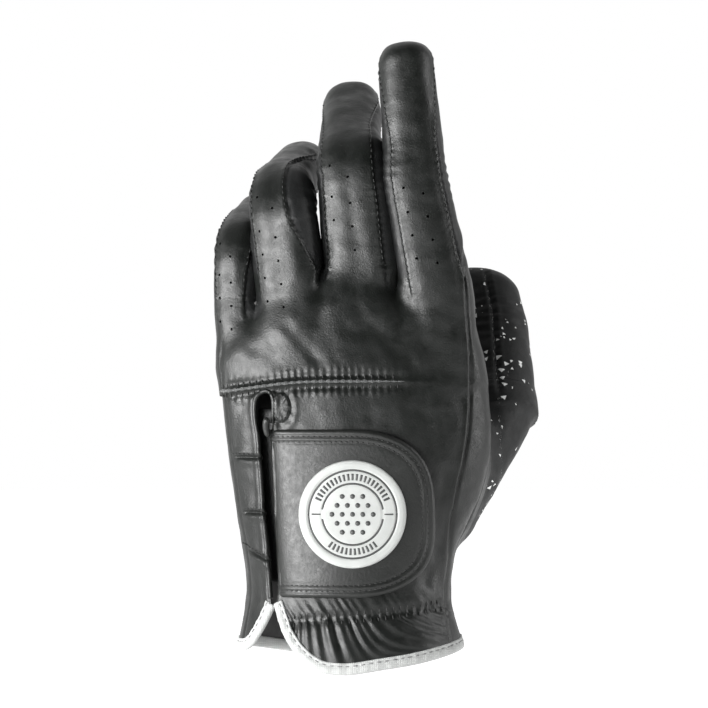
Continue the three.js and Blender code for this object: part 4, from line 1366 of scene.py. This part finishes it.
class Shader:
    """A node material under construction."""

    def __init__(self, name, colour, roughness, **settings):
        self.material = bpy.data.materials.new(name)
        self.material.use_nodes = True
        tree = self.material.node_tree
        self.nodes, self.links = tree.nodes, tree.links
        self.bsdf = self.nodes["Principled BSDF"]
        self.bsdf.inputs["Base Color"].default_value = (*colour, 1)
        self.bsdf.inputs["Roughness"].default_value = roughness
        for key, value in settings.items():
            self.bsdf.inputs[key.replace("_", " ")].default_value = value
        self.place = self.add("ShaderNodeTexCoord").outputs["Object"]
        self.bump = None

    def add(self, kind, inputs=None, **settings):
        node = self.nodes.new(kind)
        for key, value in settings.items():
            setattr(node, key, value)
        for key, value in (inputs or {}).items():
            if isinstance(value, bpy.types.NodeSocket):
                self.links.new(value, node.inputs[key])
            else:
                node.inputs[key].default_value = value
        return node

    def math(self, operation, a, b=0.0, clamp=False):
        return self.add("ShaderNodeMath", {0: a, 1: b}, operation=operation, use_clamp=clamp).outputs[0]

    def vector(self, operation, a, b):
        second = "Scale" if operation == "SCALE" else 1
        return self.add("ShaderNodeVectorMath", {0: a, second: b}, operation=operation).outputs

    def noise(self, cell, detail=3.0, rough=0.55, place=None):
        """Noise whose features are about `cell` millimetres across."""
        inputs = {"Vector": place or self.place, "Scale": 1 / (cell * MM), "Detail": detail,
                  "Roughness": rough}
        return self.add("ShaderNodeTexNoise", inputs).outputs["Fac"]

    def voronoi(self, cell, feature="F1"):
        inputs = {"Vector": self.place, "Scale": 1 / (cell * MM)}
        return self.add("ShaderNodeTexVoronoi", inputs, feature=feature).outputs["Distance"]

    def spread(self, value, low, high, to_low, to_high):
        inputs = {"Value": value, "From Min": low, "From Max": high, "To Min": to_low, "To Max": to_high}
        return self.add("ShaderNodeMapRange", inputs).outputs["Result"]

    def attribute(self, name):
        return self.add("ShaderNodeAttribute", attribute_name=name).outputs["Fac"]

    def relief(self, height, depth, strength=1.0):
        """Adds a bump `depth` millimetres deep."""
        inputs = {"Height": height, "Distance": depth * MM, "Strength": strength}
        if self.bump:
            inputs["Normal"] = self.bump
        self.bump = self.add("ShaderNodeBump", inputs).outputs["Normal"]
        self.links.new(self.bump, self.bsdf.inputs["Normal"])

    def roughness(self, value):
        self.links.new(value, self.bsdf.inputs["Roughness"])

    def blend_colour(self, share, first, second):
        inputs = {0: share, 6: first if isinstance(first, bpy.types.NodeSocket) else (*first, 1),
                  7: second if isinstance(second, bpy.types.NodeSocket) else (*second, 1)}
        return self.add("ShaderNodeMix", inputs, data_type="RGBA").outputs[2]

    def colour(self, value):
        self.links.new(value, self.bsdf.inputs["Base Color"])


def smooth_leather(name, colour, worn, roughness=(0.35, 0.5)):
    """Thin glossy sheepskin: fine pores, soft wrinkles, and a sheen that varies from place to place."""
    s = Shader(name, colour, sum(roughness) / 2, Specular_IOR_Level=0.4)
    patches = s.noise(9, 4)
    s.colour(s.blend_colour(s.spread(patches, 0.35, 0.75, 0, 1), colour, worn))
    s.roughness(s.spread(s.noise(3.5, 5), 0.3, 0.7, *roughness))
    s.relief(s.noise(6.5, 3, 0.5), 0.45, 0.55)
    s.relief(s.voronoi(0.85, "DISTANCE_TO_EDGE"), 0.10, 0.5)
    s.relief(s.noise(0.5, 2), 0.08, 0.6)
    return s


def printed_leather():
    """The same leather with small pale triangles scattered over it in clusters."""
    s = smooth_leather("printed_leather", (0.004, 0.0045, 0.0045), (0.008, 0.0085, 0.0085), (0.5, 0.64))
    s.bsdf.inputs["Specular IOR Level"].default_value = 0.3
    u, v = s.attribute("print_u"), s.attribute("print_v")
    flat = s.add("ShaderNodeCombineXYZ", {"X": u, "Y": v}).outputs["Vector"]
    total = None
    for cell, size, seed in ((2.6, 0.21, 3.0), (3.4, 0.17, 11.0)):
        shifted = s.vector("ADD", flat, (seed, seed * 0.7, 0))[0]
        scaled = s.vector("SCALE", shifted, 1 / cell)[0]
        cells = s.add("ShaderNodeTexVoronoi", {"Vector": scaled, "Scale": 1.0, "Randomness": 0.85},
                      voronoi_dimensions="2D")
        offset = s.vector("SUBTRACT", scaled, cells.outputs["Position"])[0]
        chance = s.add("ShaderNodeSeparateColor", {0: cells.outputs["Color"]}).outputs
        spin = s.math("MULTIPLY", chance[0], 6.28)
        turned = s.add("ShaderNodeVectorRotate", {"Vector": offset, "Angle": spin},
                       rotation_type="Z_AXIS").outputs[0]
        far = None
        for k in range(3):
            angle = math.radians(90 + 120 * k)
            side = s.vector("DOT_PRODUCT", turned, (math.cos(angle), math.sin(angle), 0))["Value"]
            far = side if far is None else s.math("MAXIMUM", far, side)
        reach = s.spread(chance[1], 0, 1, size * 0.35, size)
        clusters = s.noise(1, 1, place=s.vector("SCALE", shifted, 0.09 * MM)[0])
        likely = s.math("ADD", chance[2], s.spread(clusters, 0.42, 0.66, -0.9, 0.45))
        present = s.math("GREATER_THAN", likely, 0.72)
        mark = s.math("MULTIPLY", s.math("LESS_THAN", far, reach), present)
        total = mark if total is None else s.math("MAXIMUM", total, mark)
    base = s.bsdf.inputs["Base Color"].links[0].from_socket
    s.colour(s.blend_colour(total, base, (0.72, 0.73, 0.72)))
    return s


def pebbled_leather():
    s = Shader("tab_leather", (0.003, 0.0036, 0.003), 0.46, Specular_IOR_Level=0.5)
    patches = s.spread(s.noise(12, 3), 0.35, 0.7, 0, 1)
    s.colour(s.blend_colour(patches, (0.003, 0.0036, 0.003), (0.006, 0.007, 0.006)))
    s.roughness(s.spread(s.noise(2.0, 3), 0.3, 0.7, 0.4, 0.52))
    s.relief(s.voronoi(0.9, "SMOOTH_F1"), 0.12, 0.4)
    s.relief(s.noise(0.45, 3), 0.08, 0.6)
    return s


def suede():
    s = Shader("inner_suede", (0.03, 0.03, 0.03), 0.95, Sheen_Weight=0.3, Sheen_Roughness=0.6)
    patches = s.spread(s.noise(3, 5), 0.3, 0.7, 0, 1)
    s.colour(s.blend_colour(patches, (0.022, 0.022, 0.022), (0.045, 0.044, 0.043)))
    s.relief(s.noise(0.35, 4), 0.12, 0.7)
    return s


def woven(name, colour, dark, rib, roughness=0.85):
    """A narrow woven fabric with ribs `rib` millimetres apart, both ways, with painted shade in the grooves
    between them.
    """
    s = Shader(name, colour, roughness, Sheen_Weight=0.25, Sheen_Roughness=0.5)
    inputs = {"Vector": s.place, "Scale": 1 / (rib * MM) / 3.18, "Distortion": 0.6, "Detail": 1.0,
              "Detail Scale": 2.0}
    ribs = [s.add("ShaderNodeTexWave", inputs, bands_direction=axis).outputs["Fac"] for axis in ("X", "Z")]
    weave = s.math("MULTIPLY", ribs[0], ribs[1])
    s.relief(weave, 0.16, 0.7)
    s.relief(s.noise(0.4, 3), 0.05, 0.5)
    # The colour goes towards `dark` where the weave is low: painted shade in its grooves, with a random fade
    # over it.
    faded = s.spread(s.noise(5, 3), 0.3, 0.7, 0.85, 1.05)
    groove_shade_and_fade = s.math("MULTIPLY", s.spread(weave, 0, 1, 0.75, 1.0), faded)
    s.colour(s.blend_colour(s.math("SUBTRACT", 1.0, groove_shade_and_fade, True), colour, dark))
    return s


def rubber(name, colour, worn, roughness):
    s = Shader(name, colour, roughness)
    s.colour(s.blend_colour(s.spread(s.noise(7, 4), 0.35, 0.7, 0, 1), colour, worn))
    s.roughness(s.spread(s.noise(2.5, 3), 0.3, 0.7, roughness - 0.07, roughness + 0.08))
    s.relief(s.noise(0.5, 3), 0.05, 0.5)
    return s


def fuzzy(name, colour, cell, depth):
    s = Shader(name, colour, 0.9, Sheen_Weight=0.4, Sheen_Roughness=0.5)
    s.relief(s.voronoi(cell), depth, 0.9)
    s.relief(s.noise(cell * 0.7, 3), depth * 0.4, 0.7)
    return s


LEATHERS = {
    "black": smooth_leather("black_leather", (0.0028, 0.0036, 0.0029), (0.0062, 0.0072, 0.0064)).material,
    "side": smooth_leather("side_leather", (0.003, 0.0035, 0.0035), (0.006, 0.0065, 0.0065),
                           (0.46, 0.6)).material,
    "printed": printed_leather().material,
    "tab": pebbled_leather().material,
    "suede": suede().material,
}
FABRICS = {
    # The second colour of the tape and of the elastic is the painted shade in their weave's grooves.
    "tape": woven("binding_tape", (0.44, 0.45, 0.44), (0.18, 0.18, 0.18), 0.7).material,
    "elastic": woven("elastic", (0.055, 0.058, 0.057), (0.015, 0.015, 0.015), 0.8, 0.6).material,
    "rubber": rubber("badge_rubber", (0.39, 0.40, 0.39), (0.33, 0.34, 0.33), 0.5).material,
    "mark": rubber("badge_mark", (0.035, 0.037, 0.036), (0.05, 0.052, 0.05), 0.5).material,
    "thread": rubber("black_thread", (0.006, 0.0065, 0.006), (0.012, 0.0125, 0.012), 0.62).material,
    "grey_thread": rubber("grey_thread", (0.16, 0.16, 0.16), (0.24, 0.24, 0.24), 0.7).material,
    "loop": fuzzy("loop_fabric", (0.02, 0.02, 0.02), 0.9, 0.35).material,
    "hook": fuzzy("hook_plastic", (0.012, 0.012, 0.012), 0.7, 0.4).material,
}


# ---------------------------------------------------------------- stage

def make_stage():
    mesh = bpy.data.meshes.new("floor")
    size, low = 3.0, -0.035
    corners = [(-size, -size, low), (size, -size, low), (size, size, low), (-size, size, low)]
    mesh.from_pydata(corners, [], [(0, 1, 2, 3)])
    floor = bpy.data.objects.new("floor", mesh)
    bpy.context.scene.collection.objects.link(floor)
    white = rubber("floor_white", (0.9, 0.9, 0.9), (0.88, 0.88, 0.88), 0.8)
    white.bsdf.inputs["Emission Color"].default_value = (1, 1, 1, 1)
    white.bsdf.inputs["Emission Strength"].default_value = 0.6
    mesh.materials.append(white.material)


def add_area(name, at, target, size, power):
    light = bpy.data.lights.new(name, "AREA")
    light.shape, light.size, light.size_y, light.energy = "RECTANGLE", size[0], size[1], power
    obj = bpy.data.objects.new(name, light)
    obj.location = at
    obj.rotation_euler = (Vector(target) - Vector(at)).to_track_quat("-Z", "Y").to_euler()
    bpy.context.scene.collection.objects.link(obj)


def make_view():
    camera = bpy.data.objects.new("camera", bpy.data.cameras.new("camera"))
    bpy.context.scene.collection.objects.link(camera)
    distance, view_width = 1.5, 0.2301
    camera.location = (0.001, -distance, 0.0978)
    camera.rotation_euler = (math.radians(90), 0, 0)
    camera.data.sensor_width = 36
    camera.data.lens = 36 * distance / view_width
    scene = bpy.context.scene
    scene.camera = camera
    scene.view_settings.view_transform = "Standard"
    scene.world = bpy.data.worlds.new("world")
    scene.world.use_nodes = True
    tree = scene.world.node_tree
    direction = tree.nodes.new("ShaderNodeSeparateXYZ")
    tree.links.new(tree.nodes.new("ShaderNodeTexCoord").outputs["Generated"], direction.inputs[0])
    ramp = tree.nodes.new("ShaderNodeMapRange")
    for key, value in {"From Min": -0.5, "From Max": 0.6, "To Min": FRONT_LIGHT, "To Max": 1.0}.items():
        ramp.inputs[key].default_value = value
    tree.links.new(direction.outputs["Y"], ramp.inputs["Value"])
    tree.nodes["Background"].inputs["Color"].default_value = (1, 1, 1, 1)
    tree.links.new(ramp.outputs["Result"], tree.nodes["Background"].inputs["Strength"])
    add_area("key_left", (-0.80, -0.62, 0.005), (0, 0, 0.04), (1.0, 0.42), 44)
    add_area("rim_right", (0.7, -0.1, 0.25), (0, 0, 0.1), (0.1, 0.6), 2.5)


make_hand()
for name, digit in DIGITS.items():
    make_digit(digit)
for name in FINGERS:
    make_digit_stitches(DIGITS[name])
make_back_details()
make_slit()
make_wrist_band()
make_tab()
BADGE_Y = fit_badge()
make_badge()
make_cuff()
make_stage()
make_view()
